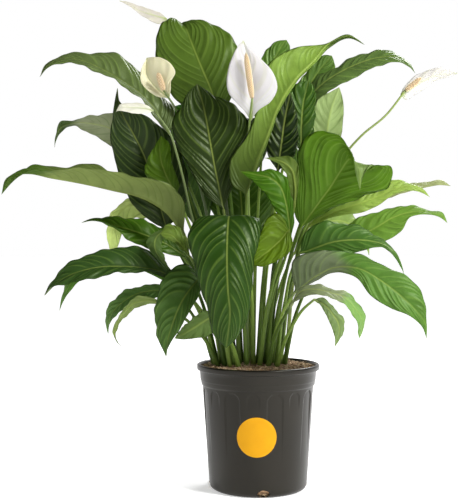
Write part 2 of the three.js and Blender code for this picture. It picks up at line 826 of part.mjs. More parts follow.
      [[150, 590], [230, 612], [300, 617], [350, 619], [378, 623]],
      [[160, 562], [240, 580], [310, 600], [352, 610], [380, 613]],
    ],
    lean: [16, -14],
    upper: SKY,
    tone: "leafMid",
  },
  leaf_right_bright_level: {
    foot: [52, -18],
    rib: [[140, -48, 476], [190, -50, 502], [229, -51, 519], [260, -52, 540], [301, -52, 556], [340, -50, 558], [370, -48, 553], [385, -46, 536]],
    edges: [
      [[152, 506], [184, 534], [229, 556], [279, 567], [306, 574], [340, 562], [372, 560]],
      [[180, 486], [225, 496], [262, 500], [293, 521], [307, 546], [340, 553], [368, 548]],
    ],
    lean: [12, -8],
    upper: SKY,
    tone: "leafBright",
  },
  leaf_right_dark_level: {
    foot: [36, -28],
    rib: [[84, -84, 474], [104, -86, 480], [135, -88, 492], [167, -90, 500], [200, -90, 501], [235, -90, 498], [262, -89, 488], [285, -88, 467], [298, -86, 430]],
    edges: [
      [[90, 505], [110, 532], [147, 539], [190, 531], [222, 524], [245, 508], [280, 476]],
      [[110, 472], [150, 474], [200, 475], [232, 485], [255, 486], [280, 462]],
    ],
    lean: [10, -12],
    upper: SKY,
    tone: "leafDark",
  },
  leaf_low_right_recurved: {
    foot: [20, -32],
    rib: [[74, -112, 394], [100, -118, 414], [136, -126, 439], [175, -132, 448], [215, -140, 440], [263, -148, 409], [310, -154, 369], [341, -156, 330], [343, -155, 299]],
    edges: [
      [[68, 440, -8], [78, 474, -12], [118, 478, -10], [158, 484, 6], [204, 470, 10], [248, 454], [300, 428], [334, 400], [341, 345]],
      [[105, 410, 8], [140, 430, 8], [180, 436, 0], [206, 418, -8], [222, 394], [256, 371], [290, 352], [325, 338]],
    ],
    lean: [10, -10],
    upper: SKY,
    tone: "leafMid",
  },
  leaf_centre_twisted: {
    foot: [3, -28],
    rib: [[66, -116, 502], [62, -118, 545], [53, -120, 590], [36, -122, 622], [5, -124, 632], [-36, -126, 641]],
    edges: [
      [[50, 535], [28, 573], [13, 597], [-8, 618], [-24, 631]],
      [[74, 540], [69, 585], [60, 622], [42, 644], [2, 641]],
    ],
    lean: [-5, 5],
    upper: FRONT,
    tone: "leafBright",
  },
  leaf_centre_olive: {
    foot: [16, -18],
    rib: [[72, -92, 560], [75, -94, 610], [66, -96, 648], [42, -98, 662], [13, -100, 668]],
    edges: [
      [[64, 590], [60, 625], [48, 650], [30, 662]],
      [[81, 600], [83, 642], [74, 669], [45, 671]],
    ],
    lean: [-4, 4],
    upper: BACK,
    tone: "leafPale",
  },
  leaf_centre_cupped: {
    foot: [2, -42],
    rib: [[62, -134, 522], [46, -140, 502], [20, -146, 478], [-16, -150, 452]],
    edges: [
      [[52, 546], [28, 556], [6, 518], [-10, 478]],
      [[70, 500], [66, 478], [44, 462], [10, 447]],
    ],
    lean: [-6, -6],
    upper: FRONT,
    tone: "leafBright",
  },
  leaf_right_shaded: {
    foot: [0, -2],
    rib: [[40, -26, 640], [48, -26, 700], [55, -25, 750], [66, -22, 800]],
    edges: [
      [[18, 680], [22, 740], [42, 785]],
      [[72, 670], [82, 715], [76, 770]],
    ],
    lean: [-2, 2],
    upper: FRONT,
    tone: "leafDark",
  },
  leaf_low_right_narrow: {
    foot: [18, -48],
    rib: [[70, -136, 372], [80, -140, 391], [103, -146, 402], [136, -150, 396], [170, -152, 388], [200, -154, 358], [212, -154, 335], [206, -152, 300]],
    edges: [
      [[78, 398], [105, 412], [145, 404], [178, 397], [210, 365], [219, 335], [211, 312]],
      [[85, 380], [110, 391], [140, 385], [165, 378], [190, 352], [203, 328], [203, 310]],
    ],
    lean: [14, -14],
    upper: SKY,
    tone: "leafMid",
  },
  leaf_low_right_small: {
    foot: [36, -46],
    rib: [[114, -166, 380], [134, -170, 370], [152, -174, 350], [165, -176, 325], [156, -176, 283]],
    edges: [
      [[130, 386], [153, 365], [176, 337], [173, 312]],
      [[124, 372], [140, 345], [150, 322], [156, 302]],
    ],
    lean: [6, -6],
    upper: FRONT,
    tone: "leafMid",
  },
  leaf_back_left_high: {
    foot: [-48, 37],
    rib: [[-95, 120, 640], [-112, 160, 720], [-124, 196, 770], [-134, 240, 775], [-142, 282, 740], [-146, 310, 680]],
    edges: [
      [[-130, 680], [-166, 745], [-178, 775], [-184, 750], [-172, 705]],
      [[-75, 680], [-66, 745], [-78, 778], [-98, 755], [-125, 700]],
    ],
    lean: [0, 0],
    upper: SKY,
    tone: "leafMid",
  },
  leaf_back_centre_high: {
    foot: [-14, 44],
    rib: [[-20, 110, 620], [-22, 150, 700], [-18, 190, 742], [-14, 236, 745], [-10, 276, 700], [-8, 300, 650]],
    edges: [
      [[-45, 655], [-62, 715], [-66, 745], [-55, 710], [-30, 665]],
      [[6, 655], [30, 715], [36, 745], [28, 710], [8, 665]],
    ],
    lean: [0, 0],
    upper: SKY,
    tone: "leafDark",
  },
  leaf_back_right_high: {
    foot: [24, 32],
    rib: [[70, 120, 560], [92, 150, 630], [112, 185, 670], [128, 225, 672], [142, 262, 640], [150, 290, 590]],
    edges: [
      [[60, 600], [62, 660], [78, 690], [104, 672], [134, 625]],
      [[104, 590], [140, 640], [166, 662], [172, 640], [164, 610]],
    ],
    lean: [0, 0],
    upper: SKY,
    tone: "leafMid",
  },
  leaf_back_right_low: {
    foot: [16, 50],
    rib: [[70, 100, 470], [110, 140, 520], [150, 180, 540], [186, 222, 534], [214, 262, 505], [226, 290, 470]],
    edges: [
      [[88, 520], [120, 566], [160, 572], [200, 548], [224, 505]],
      [[106, 476], [148, 500], [182, 506], [206, 494], [220, 482]],
    ],
    lean: [20, -20],
    upper: SKY,
    tone: "leafMid",
  },
  leaf_back_left_low: {
    foot: [-54, 50],
    rib: [[-112, 110, 500], [-136, 142, 580], [-156, 180, 640], [-176, 226, 655], [-194, 266, 620], [-204, 296, 570]],
    edges: [
      [[-140, 545], [-196, 610], [-226, 650], [-232, 640], [-224, 600]],
      [[-96, 560], [-98, 640], [-112, 690], [-140, 680], [-180, 620]],
    ],
    lean: [0, 0],
    upper: SKY,
    tone: "leafDark",
  },
  leaf_back_centre_low: {
    foot: [-20, 60],
    rib: [[-28, 90, 470], [-32, 120, 545], [-36, 156, 600], [-42, 204, 622], [-48, 250, 600], [-52, 284, 550]],
    edges: [
      [[-70, 520], [-108, 590], [-118, 626], [-108, 622], [-84, 580]],
      [[14, 520], [44, 585], [46, 626], [26, 622], [-14, 580]],
    ],
    lean: [0, 0],
    upper: SKY,
    tone: "leafDark",
  },
};

const SPATHES = {
  spathe_front: {
    rib: [[-15, -54.8, 743], [-12, -70, 768], [-13, -78, 815], [-18, -80, 860], [-30, -84, 907]],
    edges: [
      [[-28, 764], [-60, 800], [-61, 848], [-42, 893]],
      [[0, 764], [36, 794], [36, 830], [2, 874], [-20, 893]],
    ],
    lean: [-6, -6],
    upper: FRONT,
  },
  spathe_left_cupped: {
    rib: [[-180.4, -19.3, 789.3], [-208, -12, 812], [-226, -10, 838], [-226, -14, 872]],
    edges: [
      [[-205, 793], [-236, 818], [-238, 846]],
      [[-178, 800], [-176, 826], [-168, 846], [-196, 872]],
    ],
    lean: [-12, -18],
    upper: FRONT,
  },
  spathe_left_furled: {
    rib: [[-212, -62, 764], [-237, -62, 769], [-262, -62, 770], [-282, -62, 770], [-289, -62, 762]],
    edges: [
      [[-226, 776], [-255, 780], [-280, 777]],
      [[-226, 758], [-255, 759], [-281, 764]],
    ],
    lean: [9, -9],
    upper: SKY,
  },
  spathe_high_left: {
    rib: [[-184, 172, 950], [-210, 172, 957], [-240, 172, 966], [-262, 172, 978], [-282, 172, 988]],
    edges: [
      [[-200, 964], [-232, 974], [-262, 985]],
      [[-200, 940], [-230, 953], [-258, 974]],
    ],
    lean: [12, -12],
    upper: SKY,
  },
  spathe_right: {
    rib: [[289.6, -32.8, 796], [308, -24, 806], [340, -18, 826], [372, -18, 838], [406, -20, 840]],
    edges: [
      [[296, 812], [325, 838], [366, 852], [394, 846]],
      [[300, 786], [330, 803], [360, 824], [388, 833]],
    ],
    lean: [16, 10],
    upper: FRONT,
  },
};

const SPADICES = {
  spadix_front: { from: [-12, -94, 790], to: [-25, -98, 882], radius: 6.4 },
  spadix_left: { from: [-192, -30, 806], to: [-204, -34, 842], radius: 6.4 },
  spadix_right: { from: [300, -40, 806], to: [332, -42, 831], radius: 5.6 },
};

const FLOWER_STALKS = {
  stalk_front_flower: {
    foot: [-22, -2],
    via: [[-22, -18, 420], [-20, -18, 600], [-20.1, -26.8, 700], [-17.7, -54.8, 738], [-13, -82, 764], [-12, -93.4, 789]],
  },
  stalk_left_flower: {
    foot: [-42, 8],
    via: [[-92, 10, 500], [-130, 4, 660], [-158, -8, 750], [-178, -24, 786], [-191.6, -29.8, 805.3]],
  },
  stalk_furled_flower: {
    foot: [-53, -8],
    via: [[-97, -36, 430], [-135, -50, 550], [-157, -60, 646], [-178, -60, 715], [-194, -61, 752], [-211.3, -62, 763.8]],
  },
  stalk_high_flower: {
    foot: [-32, 40],
    via: [[-56, 62, 500], [-80, 88, 680], [-125, 134, 840], [-158, 166, 918], [-183.2, 172.4, 949.1]],
  },
  stalk_right_flower: {
    foot: [56, 6],
    via: [[84, 14, 480], [150, 6, 620], [183, -8, 688], [216, -17, 718], [254, -27, 748], [275, -32, 777], [289, -36, 793], [299.5, -38.9, 805.2]],
  },
};

// ---- Assembly ----

const group = new THREE.Group();

function add(name, geometry, colour, roughness) {
  const mesh = new THREE.Mesh(geometry, material(colour, roughness));
  mesh.name = name;
  group.add(mesh);
}

add("pot", potGeometry(), COLOURS.pot, 0.5);
add("potting_mix", mixGeometry(), COLOURS.mix, 0.95);
add("pot_label", labelGeometry(), COLOURS.label, 0.5);

for (const [name, spec] of Object.entries(LEAVES)) {
  add(name, leafGeometry(spec), COLOURS[spec.tone], 0.35);
}
for (const [name, spec] of Object.entries(SPATHES)) {
  add(name, spatheGeometry(spec), COLOURS.spathe, 0.5);
}
for (const [name, { from, to, radius }] of Object.entries(SPADICES)) {
  add(name, spadixGeometry(from, to, radius), COLOURS.spadix, 0.8);
}
for (const [name, { foot, via }] of Object.entries(FLOWER_STALKS)) {
  add(name, flowerStalkGeometry(via, foot), COLOURS.stalk, 0.5);
}

export default group;
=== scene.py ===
"""Looks of the potted peace lily. Metres, +Z up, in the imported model's frame, with the plant's front at -Y.

Every leaf, flower and stalk is rebuilt as a fine surface over its own CAD solid, whose cross sections are
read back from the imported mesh. The pot, its label and the potting mix are rebuilt from their CAD boxes.
"""
import json
import math
import random

import bpy
import numpy as np
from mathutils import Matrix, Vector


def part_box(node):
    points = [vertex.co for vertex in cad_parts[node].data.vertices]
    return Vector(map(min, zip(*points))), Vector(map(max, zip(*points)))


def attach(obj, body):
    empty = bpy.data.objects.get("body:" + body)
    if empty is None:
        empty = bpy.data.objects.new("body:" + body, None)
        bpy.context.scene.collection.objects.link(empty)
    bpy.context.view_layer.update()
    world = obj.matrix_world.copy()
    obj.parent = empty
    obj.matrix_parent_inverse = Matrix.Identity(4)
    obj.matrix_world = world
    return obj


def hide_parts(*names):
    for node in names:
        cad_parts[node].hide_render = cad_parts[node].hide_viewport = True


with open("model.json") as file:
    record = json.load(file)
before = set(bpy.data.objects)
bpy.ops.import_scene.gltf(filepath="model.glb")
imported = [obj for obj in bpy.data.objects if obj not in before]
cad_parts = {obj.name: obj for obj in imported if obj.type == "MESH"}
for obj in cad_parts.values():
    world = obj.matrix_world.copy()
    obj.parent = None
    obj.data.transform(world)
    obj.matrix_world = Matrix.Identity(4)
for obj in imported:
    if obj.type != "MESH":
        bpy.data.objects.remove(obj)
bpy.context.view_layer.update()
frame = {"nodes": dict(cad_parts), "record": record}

MM = 0.001
SECTION = 8  # points round each CAD cross section: margin, three above, margin, three below
BLADE_SECTIONS = 8  # CAD cross sections along a leaf's blade, above its stalk
SUBPARTS = {row["node"]: row["material_slot"] for row in frame["record"]["subparts"]}
NODES = sorted(frame["nodes"])
LEAVES = [name for name in NODES if name.startswith("leaf_")]
SPATHES = [name for name in NODES if name.startswith("spathe_")]
SPADICES = [name for name in NODES if name.startswith("spadix_")]
STALKS = [name for name in NODES if name.startswith("stalk_")]


# ---- Reading the CAD cross sections back ----


def sections_of(node):
    """(sections, tip): the rings of eight points that the node's solid was lofted through, from its foot up,
    and its single last point, or None where it ends in a flat cap. Every ring starts at its left margin."""
    mesh = frame["nodes"][node].data
    mesh.calc_loop_triangles()
    merged, same = {}, []
    for vertex in mesh.vertices:
        key = tuple(round(c * 1e6) for c in vertex.co)
        same.append(merged.setdefault(key, len(merged)))
    place = np.array(list(merged), float) / 1e6
    third, near = {}, {i: set() for i in range(len(place))}
    for triangle in mesh.loop_triangles:
        a, b, c = (same[i] for i in triangle.vertices)
        for i, j, k in ((a, b, c), (b, c, a), (c, a, b)):
            third[i, j] = k
            near[i].add(j)
            near[j].add(i)
    # The first cap is a fan about the left margin, which has more neighbours than any other point.
    start = max(near, key=lambda v: len(near[v]))
    layer = {start} | {v for v in near[start] if len(near[v]) < 6}
    before, rings, tip = set(), [], None
    while len(layer) == SECTION:
        after = {n for v in layer for n in near[v]} - layer - before
        ring = [start]
        while len(ring) < SECTION:
            last = ring[-1]
            ring += [
                n for n in near[last]
                if n in layer and (third.get((last, n)) in after if after else third.get((n, last)) in before)
            ][:1]
        rings.append(place[ring])
        if len(after) == 1:
            tip = place[after.pop()]
            break
        if not after:
            break
        start = third[start, third[ring[0], ring[1]]]
        before, layer = layer, after
    return np.array(rings), tip


def smoothed(points, at, want):
    """A smooth curve through points, which lie at the rising numbers at, read at the numbers want."""
    points, at, want = np.asarray(points, float), np.asarray(at, float), np.asarray(want, float)
    step = np.diff(at)
    slope = np.diff(points, axis=0) / step[:, None]
    tangent = np.empty_like(points)
    tangent[0], tangent[-1] = slope[0], slope[-1]
    weighed = slope[:-1] * step[1:, None] + slope[1:] * step[:-1, None]
    tangent[1:-1] = weighed / (step[:-1] + step[1:])[:, None]
    i = np.clip(np.searchsorted(at, want, side="right") - 1, 0, len(step) - 1)
    t = ((want - at[i]) / step[i])[:, None]
    span = step[i][:, None]
    start = (1 + 2 * t) * (1 - t) ** 2 * points[i] + t * (1 - t) ** 2 * span * tangent[i]
    end = t * t * (3 - 2 * t) * points[i + 1] + t * t * (t - 1) * span * tangent[i + 1]
    return start + end


def lengths_along(points):
    """How far along a line each of its points lies."""
    return np.concatenate([[0], np.cumsum(np.linalg.norm(np.diff(points, axis=0), axis=1))])


def polar(radius, azimuth):
    """x and y at a radius, with the azimuth counted from the front, -Y, towards +X."""
    return radius * np.sin(azimuth), -radius * np.cos(azimuth)


def unit(v):
    return v / np.maximum(np.linalg.norm(v, axis=-1, keepdims=True), 1e-12)


def smoothstep(low, high, value):
    t = np.clip((value - low) / (high - low), 0, 1)
    return t * t * (3 - 2 * t)


# ---- Meshes ----


def mesh_piece(name, points, faces, values=None, smooth=True):
    """A new object from points and faces. values maps an attribute's name to one number per point."""
    mesh = bpy.data.meshes.new(name)
    mesh.from_pydata([tuple(p) for p in points], [], [tuple(f) for f in faces])
    for key, numbers in (values or {}).items():
        made = mesh.attributes.new(key, "FLOAT", "POINT")
        made.data.foreach_set("value", np.asarray(numbers, np.float32))
    if smooth:
        mesh.polygons.foreach_set("use_smooth", [True] * len(mesh.polygons))
    mesh.update()
    piece = bpy.data.objects.new(name, mesh)
    bpy.context.scene.collection.objects.link(piece)
    return piece


def stand_for(piece, node, material):
    """piece is shown in place of a CAD node, with the given material."""
    piece.data.materials.append(material)
    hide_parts(node)
    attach(piece, "root")


def tube_faces(rings, around, tip):
    """Triangles between rings, a fan over the first, and a fan to the point after the last or over it.
    The second half of each ring is split along the other diagonal, so that the two faces of a thin blade are
    split alike and never cross."""
    faces = []
    for r in range(rings - 1):
        for i in range(around):
            a, b = r * around + i, r * around + (i + 1) % around
            c, d = b + around, a + around
            faces += [(a, b, c), (a, c, d)] if 2 * i < around else [(a, b, d), (b, c, d)]
    faces.append(tuple(range(around - 1, -1, -1)))
    last = (rings - 1) * around
    if tip:
        faces += [(last + i, last + (i + 1) % around, rings * around) for i in range(around)]
    else:
        faces.append(tuple(last + i for i in range(around)))
    return faces


# ---- Leaves and spathes ----

TOP_COLUMNS = 29  # points across the upper face, margins included
AROUND = 2 * TOP_COLUMNS - 2
STALK_RINGS = 26  # along a leaf's stalk
BLADE_RINGS = 88
MERGE_RINGS = 6  # over which a leaf's stalk flattens into its blade
LEAF_SHEATH = 0.35  # how much wider a leaf's stalk is at its foot
FLOWER_STALK_RINGS = 60
FLOWER_SHEATH = 0.25
SPATHE_FOOT = (0.75, 0.83, 0.91)  # how far the first rings of a spathe are drawn in
GROOVE_WIDTH = 1.7 * MM
KEEL_WIDTH = 2.3 * MM
BROAD = 30 * MM  # half width from which pleats and ripples have their full height


def hashed(name, salt):
    """A steady number from 0 to 1 for a name."""
    return random.Random(name + salt).random()


LEAF_STYLE = {
    "thickness": 0.7 * MM,
    "keel": 2.2 * MM,  # midrib under the blade
    "groove": 1.1 * MM,  # channel over the midrib
    "pleat": 0.45 * MM,  # height of the ridges between side veins
    "pleat_length": 21 * MM,
    "wave": 2.6 * MM,  # ripple of the margins
    "waves": 4.5,
}
SPATHE_STYLE = {
    "thickness": 1.1 * MM,
    "keel": 1.0 * MM,
    "groove": 0.5 * MM,
    "pleat": 0.25 * MM,
    "pleat_length": 26 * MM,
    "wave": 1.2 * MM,
    "waves": 2.5,
}


def blade_rings(name, sections, tip, style, blade_from):
    """Fine rings over the blade that starts at section blade_from, and what its material reads."""
    columns = [np.vstack([sections[blade_from:, k], tip]) for k in range(SECTION)]
    along = lengths_along((columns[2] + columns[6]) / 2)
    length = along[-1]
    share = np.linspace(0, 1, BLADE_RINGS + 1)[1:-1]
    share = share + 0.03 * np.sin(2 * math.pi * share) / (2 * math.pi)
    left, over_left, over, over_right, right = (
        smoothed(columns[k], along, share * length) for k in (0, 1, 2, 3, 4)
    )
    across = np.linspace(-1, 1, TOP_COLUMNS)
    out = np.abs(across)[None, :, None]
    near = (1 - out) * (1 - 2 * out)
    half = 4 * out * (1 - out)
    far = out * (2 * out - 1)
    side = (across < 0)[None, :, None]
    middle_line = over[:, None, :] * near
    top = middle_line + np.where(side, over_left[:, None] * half + left[:, None] * far,
                                 over_right[:, None] * half + right[:, None] * far)
    width = np.where(across[None] < 0, np.linalg.norm(left - over, axis=1)[:, None],
                     np.linalg.norm(right - over, axis=1)[:, None])
    gap = width * np.abs(across)[None]
    t = share[:, None] * np.ones_like(gap)
    reach = np.abs(across)[None] * np.ones_like(gap)
    # Side veins leave the midrib at a slant and bend forward towards the tip.
    widest = max(width.max(), 1e-4)
    bend = widest / length * (0.75 * reach + 0.55 * reach**2.6)
    phase = (t - bend) * length / style["pleat_length"] + 9 * hashed(name, "phase")
    phase = phase + 0.3 * np.sin(1.7 * phase + 5 * hashed(name, "drift"))
    phase = phase + np.where(across[None] < 0, 0.5, 0.0)
    fade = smoothstep(0.0, 0.12, reach) * smoothstep(1.0, 0.72, reach)
    fade = fade * smoothstep(0, 0.1, t) * smoothstep(1.0, 0.8, t) * smoothstep(0, BROAD, width)
    lift = style["pleat"] * np.cos(2 * math.pi * phase) * fade
    turn = 2 * math.pi * (style["waves"] * (t - 0.5 * bend) + hashed(name, "wave"))
    turn = turn + np.where(across[None] < 0, 2.1, 0.0)
    ripple = np.sin(turn) + 0.5 * np.sin(2.3 * turn + 1.0)
    wave = style["wave"] * smoothstep(0, BROAD, width) * smoothstep(0.05, 0.3, t) * smoothstep(1.0, 0.85, t)
    lift = lift + wave * ripple * reach**2
    lift = lift - style["groove"] * np.exp(-((gap / GROOVE_WIDTH) ** 2)) * (1 - 0.75 * t)
    normal = unit(np.cross(np.gradient(top, axis=1), np.gradient(top, axis=0)))
    top = top + normal * lift[..., None]
    normal = unit(np.cross(np.gradient(top, axis=1), np.gradient(top, axis=0)))
    keel = style["keel"] * (1 - 0.85 * t**0.7) * np.exp(-((gap / KEEL_WIDTH) ** 2))
    thick = style["thickness"] * (1 - 0.4 * t) * smoothstep(1.02, 0.9, reach) + keel
    under = top - normal * thick[..., None]
    rings = np.concatenate([top, under[:, -2:0:-1]], axis=1)

    def both(values, bottom=None):
        bottom = values if bottom is None else bottom
        return np.concatenate([values, bottom[:, -2:0:-1]], axis=1)

    ones = np.ones_like(gap)
    numbers = {
        "side": both(ones, 0 * ones),
        "vein": both(phase),
        "rib": both(gap / MM),
        "along": both(t),
    }
    return rings, numbers


def stalk_rings(sections, count, sheath):
    """Fine round rings through the CAD stalk's sections, with a channel down the upper face near the foot."""
    centre = sections.mean(axis=1)
    along = lengths_along(centre)
    want = np.linspace(0, along[-1], count)
    lines = np.stack([smoothed(sections[:, k], along, want) for k in range(SECTION)], axis=1)
    middle = lines.mean(axis=1)
    side = unit(lines[:, 4] - lines[:, 0])
    up = unit(lines[:, 2] - lines[:, 6])
    radius = np.linalg.norm(lines - middle[:, None], axis=2).mean(axis=1)
    share = want / along[-1]
    angle = np.linspace(0, 2 * math.pi, AROUND, endpoint=False)
    flare = 1 + sheath * (1 - share[:, None]) ** 3
    dip = np.exp(-(((angle[None] - math.pi / 2) / 0.5) ** 2))
    channel = 1 - 0.28 * dip * (0.35 + 0.65 * (1 - share[:, None]))
    reach = radius[:, None] * flare * channel
    rings = middle[:, None] + reach[..., None] * (
        -side[:, None] * np.cos(angle)[None, :, None] + up[:, None] * np.sin(angle)[None, :, None]
    )
    return rings, share


def leaf_piece(name, material, tone):
    sections, tip = sections_of(name)
    stalks = len(sections) - BLADE_SECTIONS
    blade, numbers = blade_rings(name, sections, tip, LEAF_STYLE, stalks - 1)
    stalk, share = stalk_rings(sections[:stalks], STALK_RINGS, LEAF_SHEATH)
    last = stalk[-1] - stalk[-1].mean(axis=0)
    for r in range(MERGE_RINGS):
        keep = 1 - smoothstep(0, MERGE_RINGS, r + 1.0)
        rod = blade[r].mean(axis=0) + last * (1 - 0.08 * r)
        blade[r] = keep * rod + (1 - keep) * blade[r]
    rings = np.concatenate([stalk, blade])
    points = np.vstack([rings.reshape(-1, 3), tip])
    nothing = np.zeros((len(stalk), AROUND))
    lead = {key: nothing for key in ("side", "vein", "rib")}
    lead["along"] = nothing + share[:, None] - 1
    values = {k: np.append(np.concatenate([lead[k], numbers[k]]).ravel(), 1.0) for k in lead}
    values["tone"] = np.full(len(points), tone)
    values["foot_shade"] = np.full(len(points), FOOT_SHADES.get(name, USUAL_FOOT_SHADE))
    values["turn_at"] = np.full(len(points), TURNS.get(name, NO_TURN)[0])
    piece = mesh_piece(name + "_skin", points, tube_faces(len(rings), AROUND, True), values)
    stand_for(piece, name, material)


def spathe_piece(name, material):
    sections, tip = sections_of(name)
    blade, numbers = blade_rings(name, sections, tip, SPATHE_STYLE, 0)
    first = sections[0].mean(axis=0)
    for r, width in enumerate(SPATHE_FOOT):
        blade[r] = first + (blade[r] - first) * width
    values = {k: np.append(v.ravel(), 1.0) for k, v in numbers.items()}
    points = np.vstack([blade.reshape(-1, 3), tip])
    piece = mesh_piece(name + "_skin", points, tube_faces(len(blade), AROUND, True), values)
    stand_for(piece, name, material)


# ---- Flower stalks and spikes ----


def flower_stalk_piece(name, material):
    sections, _ = sections_of(name)
    rings, share = stalk_rings(sections, FLOWER_STALK_RINGS, FLOWER_SHEATH)
    values = {"along": np.repeat(share, AROUND)}
    faces = tube_faces(len(rings), AROUND, False)
    piece = mesh_piece(name + "_skin", rings.reshape(-1, 3), faces, values)
    stand_for(piece, name, material)


SPIKE_ROWS = 150
SPIKE_AROUND = 84
FLORETS_AROUND = 9  # florets in one turn of the spike
FLORET_HEIGHT = 1.5 * MM


def spadix_piece(name, material):
    """A spike set with florets, which stand in two crossing families of spirals."""
    sections, _ = sections_of(name)
    centre = sections.mean(axis=1)
    along = lengths_along(centre)
    length = along[-1]
    share = np.linspace(0, 1, SPIKE_ROWS)
    axis = smoothed(centre, along, share * length)
    ahead = unit(np.gradient(axis, axis=0))
    side = unit(np.cross(ahead, [0.0, 1.0, 0.0]))
    up = np.cross(side, ahead)
    widest = np.linalg.norm(sections - centre[:, None], axis=2).mean(axis=1).max() - 0.4 * FLORET_HEIGHT
    profile = widest * np.sqrt(np.clip(1 - np.abs(1.94 * share - 0.9) ** 3.2, 0.02, 1))
    angle = np.linspace(0, 2 * math.pi, SPIKE_AROUND, endpoint=False)[None]
    pitch = 2 * math.pi * widest / FLORETS_AROUND
    rise = (share * length / pitch * 2 * math.pi / 1.75)[:, None]
    spiral = FLORETS_AROUND * angle
    bump = ((0.5 + 0.5 * np.cos(spiral + 2 * rise)) * (0.5 + 0.5 * np.cos(spiral - 2 * rise))) ** 0.6
    reach = profile[:, None] + FLORET_HEIGHT * (bump - 0.5) * smoothstep(0, 0.35, profile / widest)[:, None]
    rings = axis[:, None] + reach[..., None] * (
        side[:, None] * np.cos(angle)[..., None] + up[:, None] * np.sin(angle)[..., None]
    )
    faces = tube_faces(SPIKE_ROWS, SPIKE_AROUND, False)
    piece = mesh_piece(name + "_skin", rings.reshape(-1, 3), faces, {"floret": bump.ravel()})
    stand_for(piece, name, material)


# ---- Pot ----

pot_low, pot_high = (np.array(c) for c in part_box("pot"))
LIP_RADIUS = (pot_high[0] - pot_low[0]) / 2
POT_HEIGHT = pot_high[2]
LIP_HEIGHT = 12 * MM
NECK_FOOT = POT_HEIGHT - 43 * MM
BODY_TOP = LIP_RADIUS - 11.5 * MM
BASE_RADIUS = LIP_RADIUS - 25 * MM
BASE_CORNER = 11 * MM
WALL = 2.8 * MM
FLOOR = 3.5 * MM
POT_AROUND = 480
RELIEF_RINGS = 103  # rings of the profile, from its start, that carry flutes and small arches
REPEATS = 8  # flutes, and small arches between them
FLUTE_AZIMUTH = math.radians(16)
FLUTE_HALF = 17 * MM  # half of its width
FLUTE_TOP = 204 * MM
FLUTE_DEPTH = 1.9 * MM
FLUTE_FADE = (55 * MM, 180 * MM)  # heights between which a flute fades in
SMALL_HALF = 13 * MM
SMALL_DEPTH = 1.3 * MM
SMALL_FADE = (166 * MM, 196 * MM)
RELIEF_EDGE = 1.3 * MM  # width of the slope at the edge of a flute or a small arch
DRAIN_COUNT = 4
DRAIN_AZIMUTH = math.radians(4.5)
DRAIN_AROUND = 28
DRAIN_HALF_WIDTH = 12 * MM
DRAIN_HALF_HEIGHT = 7.5 * MM
DRAIN_MIDDLE = 8.5 * MM


def wall_radius(z):
    share = (z - BASE_CORNER) / (NECK_FOOT - BASE_CORNER)
    return BASE_RADIUS + (BODY_TOP - BASE_RADIUS) * share


def arc(cx, cz, radius, start, end, steps):
    """Points on an arc, its angles in degrees from +X towards +Z."""
    return [
        (cx + radius * math.cos(math.radians(a)), cz + radius * math.sin(math.radians(a)))
        for a in np.linspace(start, end, steps)
    ]


def pot_profile():
    """(radius, height) from the middle of the base, up the outside, over the lip and down the inside."""
    corner = arc(BASE_RADIUS - BASE_CORNER, BASE_CORNER, BASE_CORNER, -90, 0, 10)
    wall = [(wall_radius(z), z) for z in np.linspace(BASE_CORNER, NECK_FOOT, 92)[1:]]
    neck = NECK_FOOT
    outer = [
        (BODY_TOP + 0.9 * MM, neck + 0.5 * MM),
        (BODY_TOP + 1.7 * MM, neck + 1.5 * MM),
        (BODY_TOP + 2.6 * MM, neck + 3.4 * MM),
        (BODY_TOP + 3.4 * MM, neck + 9.2 * MM),
        (BODY_TOP + 3.6 * MM, neck + 10.4 * MM),
        (BODY_TOP + 4.3 * MM, neck + 11.2 * MM),
        (BODY_TOP + 4.6 * MM, neck + 12.6 * MM),
        (BODY_TOP + 5.3 * MM, neck + 22 * MM),
        (BODY_TOP + 5.9 * MM, POT_HEIGHT - LIP_HEIGHT - 0.8 * MM),
        (BODY_TOP + 6.6 * MM, POT_HEIGHT - LIP_HEIGHT),
        (LIP_RADIUS - 2.6 * MM, POT_HEIGHT - LIP_HEIGHT + 0.2 * MM),
    ]
    lip = arc(LIP_RADIUS - 3 * MM, POT_HEIGHT - LIP_HEIGHT + 3.2 * MM, 3 * MM, -75, 0, 6)
    lip += arc(LIP_RADIUS - 3.6 * MM, POT_HEIGHT - 3.6 * MM, 3.6 * MM, 0, 180, 14)
    inner_top = BODY_TOP + 5.9 * MM - WALL
    inside = [
        (inner_top + 0.6 * MM, POT_HEIGHT - 5 * MM),
        (inner_top, POT_HEIGHT - LIP_HEIGHT),
        (BODY_TOP + 4 * MM - WALL, neck + 12 * MM),
        (BODY_TOP - WALL, neck - 1 * MM),
        (BASE_RADIUS - WALL, BASE_CORNER + 1 * MM),
        (BASE_RADIUS - WALL - 5 * MM, FLOOR + 1.5 * MM),
        (BASE_RADIUS - WALL - 9 * MM, FLOOR),
    ]
    return np.array(corner + wall + outer + lip + inside)


def arch_relief(azimuth, z, half, top, fade):
    """1 inside a round-topped arch centred on azimuth 0, falling to 0 at its edge and towards its foot."""
    x = azimuth * wall_radius(z)
    crown = top - half
    away = np.where(z > crown, np.hypot(x, z - crown), np.abs(x))
    return smoothstep(half, half - RELIEF_EDGE, away) * smoothstep(fade[0], fade[1], z)


def nearest(azimuth, first):
    """The azimuth counted from the nearest of the repeats, of which one stands at first."""
    pitch = 2 * math.pi / REPEATS
    return (azimuth - first + pitch / 2) % pitch - pitch / 2


